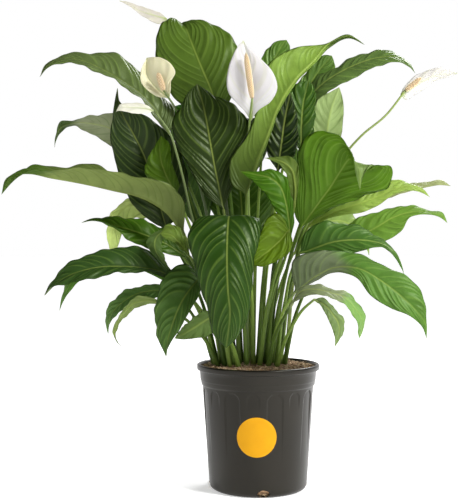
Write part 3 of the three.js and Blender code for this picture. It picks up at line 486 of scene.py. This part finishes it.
def pot_piece(material):
    profile = pot_profile()
    azimuth = np.linspace(0, 2 * math.pi, POT_AROUND, endpoint=False)[None]
    r, z = profile[:, :1], profile[:, 1:]
    carries = (np.arange(len(profile)) < RELIEF_RINGS)[:, None]
    full = arch_relief(nearest(azimuth, FLUTE_AZIMUTH), z, FLUTE_HALF, FLUTE_TOP, FLUTE_FADE)
    between = FLUTE_AZIMUTH + math.pi / REPEATS
    small = arch_relief(nearest(azimuth, between), z, SMALL_HALF, FLUTE_TOP, SMALL_FADE)
    radius = r - np.where(carries, FLUTE_DEPTH * full + SMALL_DEPTH * small, 0)
    rings = np.stack([*polar(radius, azimuth), z + 0 * azimuth], axis=2)
    piece = mesh_piece("pot_shell", rings.reshape(-1, 3), tube_faces(len(profile), POT_AROUND, False))
    cutters = [drain_cutter(drain_turn(i)) for i in range(DRAIN_COUNT)]
    for cutter in cutters:
        cut = piece.modifiers.new("drain", "BOOLEAN")
        cut.object = cutter
        cut.solver = "EXACT"
    bake_modifiers(piece)
    for cutter in cutters:
        bpy.data.objects.remove(cutter)
    stand_for(piece, "pot", material)


def drain_turn(i):
    """The azimuth of drain hole i."""
    return DRAIN_AZIMUTH + 2 * math.pi * i / DRAIN_COUNT


def drain_cutter(turn):
    """An oval plug through the base corner."""
    angle = np.linspace(0, 2 * math.pi, DRAIN_AROUND, endpoint=False)
    x, z = DRAIN_HALF_WIDTH * np.cos(angle), DRAIN_MIDDLE + DRAIN_HALF_HEIGHT * np.sin(angle)
    rings = []
    for reach in (BASE_RADIUS - 12 * MM, BASE_RADIUS + 6 * MM):
        rings.append(np.stack([x * math.cos(turn) + reach * math.sin(turn),
                               x * math.sin(turn) - reach * math.cos(turn), z], axis=1))
    return mesh_piece("drain_cutter", np.concatenate(rings), tube_faces(2, DRAIN_AROUND, False), smooth=False)


def bake_modifiers(piece):
    """Makes the piece's modified shape its own mesh."""
    graph = bpy.context.evaluated_depsgraph_get()
    old = piece.data
    made = bpy.data.meshes.new_from_object(piece.evaluated_get(graph))
    piece.modifiers.clear()
    piece.data = made
    bpy.data.meshes.remove(old)


# ---- Potting mix ----

mix_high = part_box("potting_mix")[1]
MIX_RADIUS = mix_high[0]
MIX_TOP = mix_high[2]
MIX_MOUND = 7 * MM  # its middle stands this much over its edge
MIX_GRIT = 2.2 * MM
MIX_ROWS = 70
MIX_AROUND = 260
FIBRE_RINGS = 5
FIBRE_AROUND = 3


def mix_level(x, y):
    share = np.hypot(x, y) / MIX_RADIUS
    return MIX_TOP - MIX_MOUND * share * share


def rough(x, y):
    """A steady bumpy field from -1 to 1 over the surface of the mix."""
    total = 0
    for scale, weight, shift in ((170, 0.4, 0.3), (390, 0.35, 1.7), (820, 0.25, 4.1)):
        wobble = np.sin(scale * 0.6 * y + 3 * shift)
        total = total + weight * np.sin(scale * x + shift + wobble) * np.cos(scale * 0.9 * y - shift + wobble)
    return total


def mix_piece(material):
    """The mix, bumpy above and plain where the pot hides it."""
    radii = np.linspace(0.02, 0.995, MIX_ROWS) * MIX_RADIUS
    azimuth = np.linspace(0, 2 * math.pi, MIX_AROUND, endpoint=False)[None]
    x, y = polar(radii[:, None], azimuth)
    z = mix_level(x, y) + MIX_GRIT * rough(x, y)
    surface = np.stack([x, y, z], axis=2)[::-1]
    sides = []
    for r, level in (
        (BODY_TOP - WALL - 0.5 * MM, NECK_FOOT),
        (BASE_RADIUS - WALL - 0.5 * MM, BASE_CORNER + 2 * MM),
        (BASE_RADIUS - WALL - 9 * MM, FLOOR + 0.4 * MM),
    ):
        sides.append(np.stack([*polar(r, azimuth), level + 0 * azimuth], axis=2)[0])
    rings = np.concatenate([np.array(sides[::-1]), surface])
    piece = mesh_piece("potting_mix_bed", rings.reshape(-1, 3), tube_faces(len(rings), MIX_AROUND, False))
    stand_for(piece, "potting_mix", material)


def debris_piece(name, points, faces, tones, material):
    """Loose bits lying in the mix, as one piece that stands for no CAD node."""
    piece = mesh_piece(name, points, faces, {"tone": tones}, smooth=False)
    piece.data.materials.append(material)
    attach(piece, "root")


def chip_cloud(name, material, count, seed):
    """Bark and peat chips lying on the mix, as one piece."""
    dice = random.Random(seed)
    corners = np.array([(-1, -1, -1), (1, -1, -1), (1, 1, -1), (-1, 1, -1),
                        (-1, -1, 1), (1, -1, 1), (1, 1, 1), (-1, 1, 1)], float)
    sides = [(0, 3, 2, 1), (4, 5, 6, 7), (0, 1, 5, 4), (1, 2, 6, 5), (2, 3, 7, 6), (3, 0, 4, 7)]
    points, faces, tones = [], [], []
    for _ in range(count):
        spread = MIX_RADIUS * 0.985 * math.sqrt(dice.random())
        x, y = polar(spread, dice.random() * 2 * math.pi)
        size = MM * np.array([dice.uniform(1.2, 4.2), dice.uniform(0.8, 2.2), dice.uniform(0.4, 1.1)])
        jitter = np.array([[dice.uniform(0.55, 1.1) for _ in range(3)] for _ in range(8)])
        tilt = [dice.uniform(-0.5, 0.5), dice.uniform(-0.5, 0.5), dice.uniform(0, 2 * math.pi)]
        local = turned(corners * jitter * size, tilt)
        base = len(points)
        level = float(mix_level(x, y) + MIX_GRIT * rough(x, y))
        points += list(local + np.array([x, y, level + dice.uniform(0.0, 1.2) * MM]))
        faces += [tuple(base + i for i in side) for side in sides]
        tones += [dice.random()] * len(corners)
    debris_piece(name, points, faces, tones, material)


def turned(points, tilt):
    """points turned about X, then Y, then Z."""
    for axis, angle in enumerate(tilt):
        a, b = (axis + 1) % 3, (axis + 2) % 3
        c, s = math.cos(angle), math.sin(angle)
        old = points.copy()
        points[:, a] = c * old[:, a] - s * old[:, b]
        points[:, b] = s * old[:, a] + c * old[:, b]
    return points


def fibre_cloud(name, material, count, seed, spot=None):
    """Coir fibres, as one piece: over the mix, or in the drain hole whose azimuth is spot."""
    dice = random.Random(seed)
    points, faces, tones = [], [], []
    for _ in range(count):
        if spot is None:
            spread = MIX_RADIUS * 0.97 * math.sqrt(dice.random())
            start = np.array([*polar(spread, dice.random() * 2 * math.pi), 0.0])
            start[2] = float(mix_level(*start[:2])) + dice.uniform(0.5, 2.5) * MM
            heading = np.array([dice.uniform(-1, 1), dice.uniform(-1, 1), dice.uniform(-0.1, 0.35)])
            length = dice.uniform(8, 22) * MM
        else:
            turn = spot + dice.uniform(-9, 9) * MM / BASE_RADIUS
            start = np.array([*polar(BASE_RADIUS - 3.6 * MM, turn), dice.uniform(4, 13) * MM])
            heading = np.array([dice.uniform(-1, 1), dice.uniform(-0.2, 0.2), dice.uniform(-0.7, 0.7)])
            length = dice.uniform(4, 8) * MM
        bend = np.array([dice.uniform(-1, 1), dice.uniform(-1, 1), dice.uniform(-0.8, 0.4)])
        thin = dice.uniform(0.12, 0.3) * MM
        base = len(points)
        for t in np.linspace(0, 1, FIBRE_RINGS):
            middle = start + length * (unit(heading) * t + 0.35 * bend * t * t)
            lowest = float(mix_level(*middle[:2])) + 0.8 * MM if spot is None else 1.5 * MM
            middle[2] = max(middle[2], lowest)
            for corner in range(FIBRE_AROUND):
                a = corner * 2 * math.pi / FIBRE_AROUND
                round_it = np.array([math.cos(a) * 0.7, math.sin(a) * 0.7, math.sin(a + 1)])
                points.append(middle + thin * round_it)
        faces += [tuple(base + i for i in f) for f in tube_faces(FIBRE_RINGS, FIBRE_AROUND, False)]
        tones += [dice.random()] * (FIBRE_RINGS * FIBRE_AROUND)
    debris_piece(name, points, faces, tones, material)


# ---- Label ----

LABEL_THICKNESS = 0.5 * MM
LABEL_GAP = 0.3 * MM
LABEL_AROUND = 128


def label_piece(material):
    """A thin round sticker bent round the wall, with a softened rim."""
    low, high = (np.array(c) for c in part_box("pot_label"))
    middle = (low + high) / 2
    radius = (high[2] - low[2]) / 2
    azimuth = math.asin(middle[0] / wall_radius(middle[2]))
    angle = np.linspace(0, 2 * math.pi, LABEL_AROUND, endpoint=False)[None]
    steps = [(share, 1.0) for share in (0.02, 0.25, 0.5, 0.75, 0.93, 0.985)] + [(0.997, 0.75), (1.0, 0.3)]
    steps += [(1.0, -0.2), (0.9, -0.2), (0.02, -0.2)]
    share = np.array([s for s, _ in steps])[:, None]
    lift = np.array([h for _, h in steps])[:, None]
    z = middle[2] + radius * share * np.sin(angle)
    reach = wall_radius(z) + LABEL_GAP + LABEL_THICKNESS * lift
    turn = azimuth + radius * share * np.cos(angle) / wall_radius(z)
    rings = np.stack([*polar(reach, turn), z], axis=2)[::-1]
    piece = mesh_piece("pot_sticker", rings.reshape(-1, 3), tube_faces(len(steps), LABEL_AROUND, False))
    stand_for(piece, "pot_label", material)


# ---- Materials ----


def linear(code):
    """A colour written as six hex digits, as the linear numbers that shaders take."""
    parts = [int(code[i:i + 2], 16) / 255 for i in (0, 2, 4)]
    return tuple(c / 12.92 if c <= 0.04045 else ((c + 0.055) / 1.055) ** 2.4 for c in parts)


class Surface:
    """A material and short ways to add nodes to it."""

    def __init__(self, name):
        self.material = bpy.data.materials.new(name)
        self.material.use_nodes = True
        self.tree = self.material.node_tree
        self.base = self.tree.nodes["Principled BSDF"]
        self.output = self.tree.nodes["Material Output"]

    def set(self, node, socket, value):
        """value is a number or colour, or another node's output."""
        target = node.inputs[socket]
        if isinstance(value, bpy.types.NodeSocket):
            self.tree.links.new(value, target)
        elif isinstance(value, tuple):
            target.default_value = (*value, 1.0)[:len(target.default_value)]
        else:
            target.default_value = value

    def math(self, kind, *values):
        node = self.tree.nodes.new("ShaderNodeMath")
        node.operation = kind
        for i, value in enumerate(values):
            self.set(node, i, value)
        return node.outputs[0]

    def number(self, name):
        node = self.tree.nodes.new("ShaderNodeAttribute")
        node.attribute_name = name
        return node.outputs["Fac"]

    def colour(self, name):
        node = self.tree.nodes.new("ShaderNodeAttribute")
        node.attribute_name = name
        return node.outputs["Color"]

    def mix(self, share, first, second):
        node = self.tree.nodes.new("ShaderNodeMix")
        node.data_type = "RGBA"
        self.set(node, 0, share)
        self.set(node, 6, first)
        self.set(node, 7, second)
        return node.outputs[2]

    def ramp(self, value, low, high, start=0.0, end=1.0):
        """value carried from the range low to high onto start to end, smoothly and no further."""
        node = self.tree.nodes.new("ShaderNodeMapRange")
        node.interpolation_type = "SMOOTHSTEP"
        for i, number in enumerate((value, low, high, start, end)):
            self.set(node, i, number)
        return node.outputs[0]

    def noise(self, scale, detail=3.0, stretch=(1.0, 1.0, 1.0), roughness=0.55):
        place = self.tree.nodes.new("ShaderNodeTexCoord")
        sized = self.tree.nodes.new("ShaderNodeMapping")
        self.set(sized, "Vector", place.outputs["Object"])
        sized.inputs["Scale"].default_value = stretch
        node = self.tree.nodes.new("ShaderNodeTexNoise")
        self.set(node, "Vector", sized.outputs[0])
        self.set(node, "Scale", scale)
        self.set(node, "Detail", detail)
        self.set(node, "Roughness", roughness)
        return node.outputs["Fac"]

    def bump(self, height, distance, strength=1.0):
        node = self.tree.nodes.new("ShaderNodeBump")
        self.set(node, "Strength", strength)
        self.set(node, "Distance", distance)
        self.set(node, "Height", height)
        self.set(self.base, "Normal", node.outputs[0])

    def lit_through(self, colour, share):
        """Lets some light through the surface, tinted with colour."""
        glow = self.tree.nodes.new("ShaderNodeBsdfTranslucent")
        self.set(glow, "Color", colour)
        blend = self.tree.nodes.new("ShaderNodeMixShader")
        self.set(blend, 0, share)
        self.tree.links.new(self.base.outputs[0], blend.inputs[1])
        self.tree.links.new(glow.outputs[0], blend.inputs[2])
        self.tree.links.new(blend.outputs[0], self.output.inputs["Surface"])


def leaf_material(name, roughness, through):
    s = Surface(name)
    side, vein, rib, along = (s.number(key) for key in ("side", "vein", "rib", "along"))
    turned_over = s.ramp(s.math("SUBTRACT", along, s.number("turn_at")), -0.05, 0.05)
    upper, under = (s.mix(turned_over, s.colour(key), s.colour("ahead")) for key in ("upper", "under"))
    blade = s.ramp(along, -0.12, 0.02)
    ridge = s.math("COSINE", s.math("MULTIPLY", vein, 2 * math.pi))
    stripes = s.ramp(ridge, 0.72, 1.0)
    fade = s.math("MULTIPLY", s.ramp(rib, 1.0, 9.0), blade)
    mottle = s.noise(38.0, 4.0)
    fine = s.noise(420.0, 2.0)
    face = s.mix(side, under, upper)
    deep = s.mix(0.5, face, linear("26340f"))
    line_colour = s.mix(side, s.mix(0.45, face, linear("3c5a1c")), s.mix(0.2, face, linear("a3c258")))
    face = s.mix(s.math("MULTIPLY", s.ramp(mottle, 0.3, 0.72), 0.42), face, deep)
    face = s.mix(s.math("MULTIPLY", s.math("MULTIPLY", stripes, fade), 0.7), face, line_colour)
    line = s.math("MULTIPLY", blade, s.ramp(along, 1.0, 0.4, 0.25, 0.8))
    line = s.math("MULTIPLY", s.ramp(rib, 2.2, 0.8), line)
    face = s.mix(line, face, s.mix(0.42, face, linear("b4c45f")))
    # Painted shade: each blade darkens towards its foot, for the shadow that the leaves around it cast.
    shade = s.ramp(along, 0.0, 0.6, s.number("foot_shade"), 0.0)
    face = s.mix(shade, face, s.mix(0.8, face, linear("16220a")))
    stem = s.mix(s.number("tone"), linear("34491c"), linear("8fa850"))
    stem = s.mix(s.math("MULTIPLY", s.ramp(mottle, 0.35, 0.65), 0.35), stem, linear("5f7d2e"))
    face = s.mix(blade, stem, face)
    s.set(s.base, "Base Color", face)
    s.set(s.base, "Roughness", s.ramp(fine, 0.2, 0.8, roughness - 0.05, roughness + 0.07))
    s.set(s.base, "Specular IOR Level", 0.24)
    s.set(s.base, "Specular Tint", (0.85, 1.0, 0.6))
    pleat = s.math("MULTIPLY", s.math("MULTIPLY", ridge, fade), s.ramp(mottle, 0.25, 0.8, 0.7, 1.6))
    grain = s.math("ADD", s.math("MULTIPLY", fine, 0.15), s.noise(110.0, 3.0))
    s.bump(s.math("ADD", pleat, grain), 0.0006, 0.7)
    s.lit_through(s.mix(0.35, face, linear("a6c832")), through)
    return s.material


def spathe_material():
    s = Surface("spathe_white")
    along = s.number("along")
    tint = s.colour("upper")
    lines = s.math("COSINE", s.math("MULTIPLY", s.number("vein"), 2 * math.pi))
    faint = s.math("MULTIPLY", s.ramp(lines, 0.3, 1.0), 0.22)
    face = s.mix(faint, tint, linear("d9dcb8"))
    rib = s.math("MULTIPLY", s.ramp(s.number("rib"), 3.2, 0.3), s.ramp(along, 1.0, 0.0, 0.1, 0.75))
    face = s.mix(rib, face, linear("c3cf94"))
    face = s.mix(s.math("MULTIPLY", s.ramp(along, 0.16, 0.0), 0.7), face, linear("a9bd6a"))
    face = s.mix(s.math("MULTIPLY", s.ramp(along, 0.93, 1.0), 0.6), face, linear("c4cf8c"))
    s.set(s.base, "Base Color", face)
    s.set(s.base, "Roughness", 0.46)
    s.set(s.base, "Specular IOR Level", 0.35)
    s.bump(s.noise(260.0, 3.0), 0.0002, 0.5)
    s.lit_through(s.mix(0.3, face, linear("eef0c8")), 0.42)
    return s.material


def stalk_material():
    s = Surface("stalk_green")
    along = s.number("along")
    streak = s.noise(90.0, 3.0, (3.0, 3.0, 0.25))
    tint = s.colour("upper")
    face = s.mix(s.ramp(along, 0.2, 1.0, 0.0, 0.3), tint, linear("8fa357"))
    face = s.mix(s.math("MULTIPLY", s.ramp(streak, 0.35, 0.7), 0.3), face, s.mix(0.5, tint, linear("6d8437")))
    s.set(s.base, "Base Color", face)
    s.set(s.base, "Roughness", 0.42)
    s.bump(streak, 0.0003, 0.5)
    return s.material


def spadix_material():
    s = Surface("spadix_cream")
    floret = s.number("floret")
    # Darker in the gaps between florets: partly their own colour, partly painted shade in those hollows.
    face = s.mix(s.ramp(floret, 0.12, 0.6), linear("8f6f43"), linear("ecd9b4"))
    face = s.mix(s.math("MULTIPLY", s.ramp(s.noise(500.0, 2.0), 0.4, 0.75), 0.35), face, linear("c7a779"))
    s.set(s.base, "Base Color", face)
    s.set(s.base, "Roughness", 0.62)
    s.set(s.base, "Subsurface Weight", 0.12)
    s.base.inputs["Subsurface Radius"].default_value = (0.004, 0.003, 0.001)
    s.bump(s.noise(900.0, 2.0), 0.0002, 0.6)
    return s.material


def pot_material():
    s = Surface("pot_charcoal")
    cloud = s.noise(14.0, 3.0)
    grain = s.noise(900.0, 2.0)
    face = s.mix(s.ramp(cloud, 0.35, 0.7), linear("0d0b07"), linear("13100b"))
    s.set(s.base, "Base Color", face)
    s.set(s.base, "Roughness", s.ramp(cloud, 0.3, 0.75, 0.3, 0.36))
    s.set(s.base, "Specular IOR Level", 0.36)
    s.set(s.base, "Specular Tint", (1.0, 0.95, 0.84))
    s.bump(grain, 0.00012, 0.5)
    return s.material


def mix_material():
    s = Surface("mix_brown")
    lumps = s.noise(160.0, 5.0)
    grit = s.noise(700.0, 3.0)
    face = s.mix(s.ramp(lumps, 0.35, 0.65), linear("6a4830"), linear("c09a74"))
    face = s.mix(s.math("MULTIPLY", s.ramp(grit, 0.55, 0.75), 0.6), face, linear("b8a17c"))
    s.set(s.base, "Base Color", face)
    s.set(s.base, "Roughness", 0.92)
    s.bump(s.math("ADD", lumps, s.math("MULTIPLY", grit, 0.5)), 0.003, 0.9)
    return s.material


def debris_material(name, dark, light):
    """For bark chips and fibres, whose tone attribute runs from dark to light."""
    s = Surface(name)
    face = s.mix(s.number("tone"), linear(dark), linear(light))
    face = s.mix(s.math("MULTIPLY", s.ramp(s.noise(600.0, 3.0), 0.4, 0.7), 0.4), face, linear("4a3522"))
    s.set(s.base, "Base Color", face)
    s.set(s.base, "Roughness", 0.85)
    s.bump(s.noise(1100.0, 2.0), 0.0004, 0.7)
    return s.material


def label_material():
    s = Surface("label_yellow")
    cloud = s.noise(40.0, 2.0)
    face = s.mix(s.ramp(cloud, 0.3, 0.7), linear("d49600"), linear("d89a00"))
    s.set(s.base, "Base Color", face)
    s.set(s.base, "Roughness", 0.5)
    s.set(s.base, "Specular IOR Level", 0.2)
    s.bump(s.noise(300.0, 2.0), 0.0001, 0.3)
    return s.material


# ---- Leaf colours ----

# The colour of each leaf's side that faces the front, with the light or shade that falls on that leaf painted
# in, and whether that side is its underside.
LEAF_TINTS_AND_PAINTED_LIGHT = {
    "leaf_left_crest": ("526b25", False),
    "leaf_left_high_arch": ("5d6e3d", False),
    "leaf_left_shaded_arch": ("a3a988", True),
    "leaf_left_upright": ("223118", False),
    "leaf_left_small_bright": ("537610", False),
    "leaf_left_long": ("95a55c", True),
    "leaf_left_olive": ("6d8535", False),
    "leaf_centre_glossy": ("20300b", False),
    "leaf_front_droop": ("254210", False),
    "leaf_low_left_droop": ("45652b", False),
    "leaf_left_level": ("334f22", False),
    "leaf_left_back_level": ("608e38", False),
    "leaf_left_middle": ("3e6312", False),
    "leaf_left_pale_droop": ("edfe9f", True),
    "leaf_left_striped_small": ("5a743a", False),
    "leaf_low_left_dark": ("688d4b", False),
    "leaf_low_left_curled": ("a0b568", True),
    "leaf_low_front_pale": ("637c40", True),
    "leaf_right_behind_flower": ("53752c", False),
    "leaf_right_great_lime": ("87a644", True),
    "leaf_right_high_tip": ("547331", False),
    "leaf_right_high_arch": ("576f38", False),
    "leaf_right_upright": ("2c4c11", False),
    "leaf_right_striped": ("a2b777", True),
    "leaf_right_great_bright": ("527916", False),
    "leaf_right_lime_level": ("9cb655", False),
    "leaf_right_back_level": ("9ca36e", False),
    "leaf_right_bright_level": ("6e9538", False),
    "leaf_right_dark_level": ("436927", False),
    "leaf_low_right_recurved": ("9aa682", True),
    "leaf_centre_twisted": ("3b6703", False),
    "leaf_centre_olive": ("596e28", True),
    "leaf_centre_cupped": ("607c13", False),
    # Nearly black: painted shade for a leaf deep in the shadow of the others.
    "leaf_right_shaded": ("041702", False),
    "leaf_low_right_narrow": ("c9d4a4", True),
    "leaf_low_right_small": ("a3be7a", True),
    "leaf_back_left_high": ("2a600a", False),
    "leaf_back_centre_high": ("172c05", False),
    "leaf_back_right_high": ("48652e", False),
    "leaf_back_right_low": ("7f984d", False),
    "leaf_back_left_low": ("4c6936", False),
    "leaf_back_centre_low": ("345116", False),
}
# How dark the painted shade at the foot of a blade is: it stands in for the shadow of the leaves around it.
USUAL_FOOT_SHADE = 0.42
FOOT_SHADES = {
    "leaf_right_great_lime": 1.0,
    "leaf_left_crest": 0.7,
    "leaf_left_long": 0.6,
    "leaf_right_bright_level": 0.2,
    "leaf_right_lime_level": 0.2,
}
# Where a blade turns over, as a share of its length, and its colour from there on.
NO_TURN = (2.0, "000000")
TURNS = {
    "leaf_low_right_recurved": (0.36, "588133"),
    "leaf_left_long": (0.74, "56742c"),
    "leaf_right_great_lime": (0.8, "50682c"),
    "leaf_low_right_narrow": (0.55, "7da558"),
    "leaf_left_shaded_arch": (0.7, "4c5f33"),
}
# Each flower stalk's green with painted light and shade: lighter for the stalk that stands in light, darker
# for those in the shadow of the leaves.
STALK_TINTS_AND_PAINTED_LIGHT = {
    "stalk_front_flower": "5d7330",
    "stalk_furled_flower": "38481a",
    "stalk_high_flower": "233010",
    "stalk_left_flower": "2a3c16",
    "stalk_right_flower": "78883f",
}
# Each spathe's white with painted shade: greyed or warmed as far as that spathe stands in shadow.
SPATHE_TINTS_AND_PAINTED_SHADE = {
    "spathe_front": "e1dee3",
    "spathe_left_cupped": "e6e1c2",
    "spathe_left_furled": "f7f5eb",
    "spathe_high_left": "d9d4cd",
    "spathe_right": "dfdcdd",
}


def paint(piece_name, **colours):
    """Writes each colour onto a piece's points, as the attribute of its name."""
    mesh = bpy.data.objects[piece_name].data
    for key, colour in colours.items():
        made = mesh.attributes.new(key, "FLOAT_COLOR", "POINT")
        made.data.foreach_set("color", np.tile([*colour, 1.0], len(mesh.vertices)))


def blend(first, second, share):
    return tuple(a + (b - a) * share for a, b in zip(first, second))


# ---- Build ----

# Each has its roughness and the share of light that it lets through.
LEAF_MATERIALS = {
    "leaf_dark": leaf_material("leaf_dark_green", 0.36, 0.2),
    "leaf_mid": leaf_material("leaf_mid_green", 0.4, 0.28),
    "leaf_bright": leaf_material("leaf_bright_green", 0.42, 0.36),
    "leaf_pale": leaf_material("leaf_pale_green", 0.48, 0.38),
}
for leaf in LEAVES:
    code, from_below = LEAF_TINTS_AND_PAINTED_LIGHT[leaf]
    seen = linear(code)
    leaf_piece(leaf, LEAF_MATERIALS[SUBPARTS[leaf]], hashed(leaf, "tone"))
    ahead = linear(TURNS.get(leaf, NO_TURN)[1])
    if from_below:
        paint(leaf + "_skin", upper=blend(seen, linear("24380e"), 0.55), under=seen, ahead=ahead)
    else:
        paint(leaf + "_skin", upper=seen, under=blend(seen, linear("93a36a"), 0.42), ahead=ahead)

white = spathe_material()
for spathe in SPATHES:
    spathe_piece(spathe, white)
    paint(spathe + "_skin", upper=linear(SPATHE_TINTS_AND_PAINTED_SHADE[spathe]))
cream = spadix_material()
for spadix in SPADICES:
    spadix_piece(spadix, cream)
green = stalk_material()
for stalk in STALKS:
    flower_stalk_piece(stalk, green)
    paint(stalk + "_skin", upper=linear(STALK_TINTS_AND_PAINTED_LIGHT[stalk]))

pot_piece(pot_material())
mix_piece(mix_material())
chip_cloud("bark_chips", debris_material("bark", "5a4027", "cdb592"), count=1500, seed=11)
coir = debris_material("coir", "8a6a45", "dcc7a2")
fibre_cloud("coir_fibres", coir, count=240, seed=12)
for hole in range(DRAIN_COUNT):
    fibre_cloud(f"drain_fibres_{hole}", coir, count=26, seed=20 + hole, spot=drain_turn(hole))
label_piece(label_material())


# ---- Stage, light and camera ----

FLOOR_REACH = 60.0
CAMERA_LENS = 70.5  # mm, on a sensor 36 mm wide
CAMERA_PLACE = (-0.059, -1.99, 0.481)


def stage_floor():
    """A wide pale floor, which glows a little more towards the horizon."""
    corners = [(x * FLOOR_REACH, y * FLOOR_REACH, 0) for x, y in ((-1, -1), (1, -1), (1, 1), (-1, 1))]
    floor = mesh_piece("floor", corners, [(0, 1, 2, 3)])
    s = Surface("floor_white")
    place = s.tree.nodes.new("ShaderNodeTexCoord")
    away = s.tree.nodes.new("ShaderNodeVectorMath")
    away.operation = "LENGTH"
    s.tree.links.new(place.outputs["Object"], away.inputs[0])
    s.set(s.base, "Base Color", s.mix(s.noise(3.0, 2.0), linear("f6f6f6"), linear("fafafa")))
    s.set(s.base, "Roughness", 0.8)
    s.set(s.base, "Specular IOR Level", 0.1)
    s.set(s.base, "Emission Color", (1.0, 1.0, 1.0))
    s.set(s.base, "Emission Strength", s.ramp(away.outputs["Value"], 0.4, 3.0, 0.5, 0.95))
    s.material.cycles.emission_sampling = "NONE"  # sampled as a lamp, it leaves more specks on the plant
    floor.data.materials.append(s.material)


def area_light(name, place, target, size, power):
    """A round white lamp, of the given width in metres and power in watts, turned to its target."""
    lamp = bpy.data.lights.new(name, "AREA")
    lamp.shape = "DISK"
    lamp.size = size
    lamp.energy = power
    made = bpy.data.objects.new(name, lamp)
    made.location = place
    aim = np.array(target) - np.array(place)
    made.rotation_euler = (math.acos(-aim[2] / np.linalg.norm(aim)), 0, math.atan2(-aim[0], aim[1]))
    bpy.context.scene.collection.objects.link(made)


def room_ramp(tree, value, low, high, start, end):
    """value carried from the range low to high onto start to end, and no further."""
    node = tree.nodes.new("ShaderNodeMapRange")
    for socket, number in enumerate((low, high, start, end), start=1):
        node.inputs[socket].default_value = number
    tree.links.new(value, node.inputs[0])
    return node.outputs[0]


def room_math(tree, kind, first, second):
    node = tree.nodes.new("ShaderNodeMath")
    node.operation = kind
    tree.links.new(first, node.inputs[0])
    tree.links.new(second, node.inputs[1])
    return node.outputs[0]


def stage_room():
    """White in a low band all round, which stands higher behind the plant, and dim elsewhere."""
    world = bpy.data.worlds.new("studio")
    world.use_nodes = True
    tree = world.node_tree
    toward = tree.nodes.new("ShaderNodeTexCoord")
    split = tree.nodes.new("ShaderNodeSeparateXYZ")
    tree.links.new(toward.outputs["Generated"], split.inputs[0])
    low = room_ramp(tree, split.outputs["Z"], 0.26, 0.36, 1.0, 0.14)
    behind = room_ramp(tree, split.outputs["Y"], 0.3, 0.8, 0.28, 1.0)
    band = room_ramp(tree, split.outputs["Z"], 0.17, 0.21, 1.0, 0.0)
    strength = room_math(tree, "MAXIMUM", room_math(tree, "MULTIPLY", low, behind), band)
    tree.links.new(strength, tree.nodes["Background"].inputs["Strength"])
    tree.nodes["Background"].inputs["Color"].default_value = (1.0, 1.0, 1.0, 1.0)
    world.cycles.sampling_method = "NONE"  # sampled as a lamp, it leaves more specks on the plant
    bpy.context.scene.world = world


stage_floor()
area_light("key", place=(2.0, -1.5, 2.3), target=(0.0, 0.0, 0.6), size=0.9, power=125)
area_light("fill", place=(-2.2, -1.8, 1.5), target=(0.0, 0.0, 0.5), size=1.5, power=9)
area_light("back", place=(1.2, 1.9, 2.3), target=(0.0, 0.0, 0.6), size=1.3, power=60)
stage_room()
bpy.context.scene.view_settings.view_transform = "Standard"

camera = bpy.data.cameras.new("camera")
camera.lens = CAMERA_LENS
camera.sensor_width = 36
holder = bpy.data.objects.new("camera", camera)
holder.location = CAMERA_PLACE
holder.rotation_euler = (math.pi / 2, 0, 0)
bpy.context.scene.collection.objects.link(holder)
bpy.context.scene.camera = holder
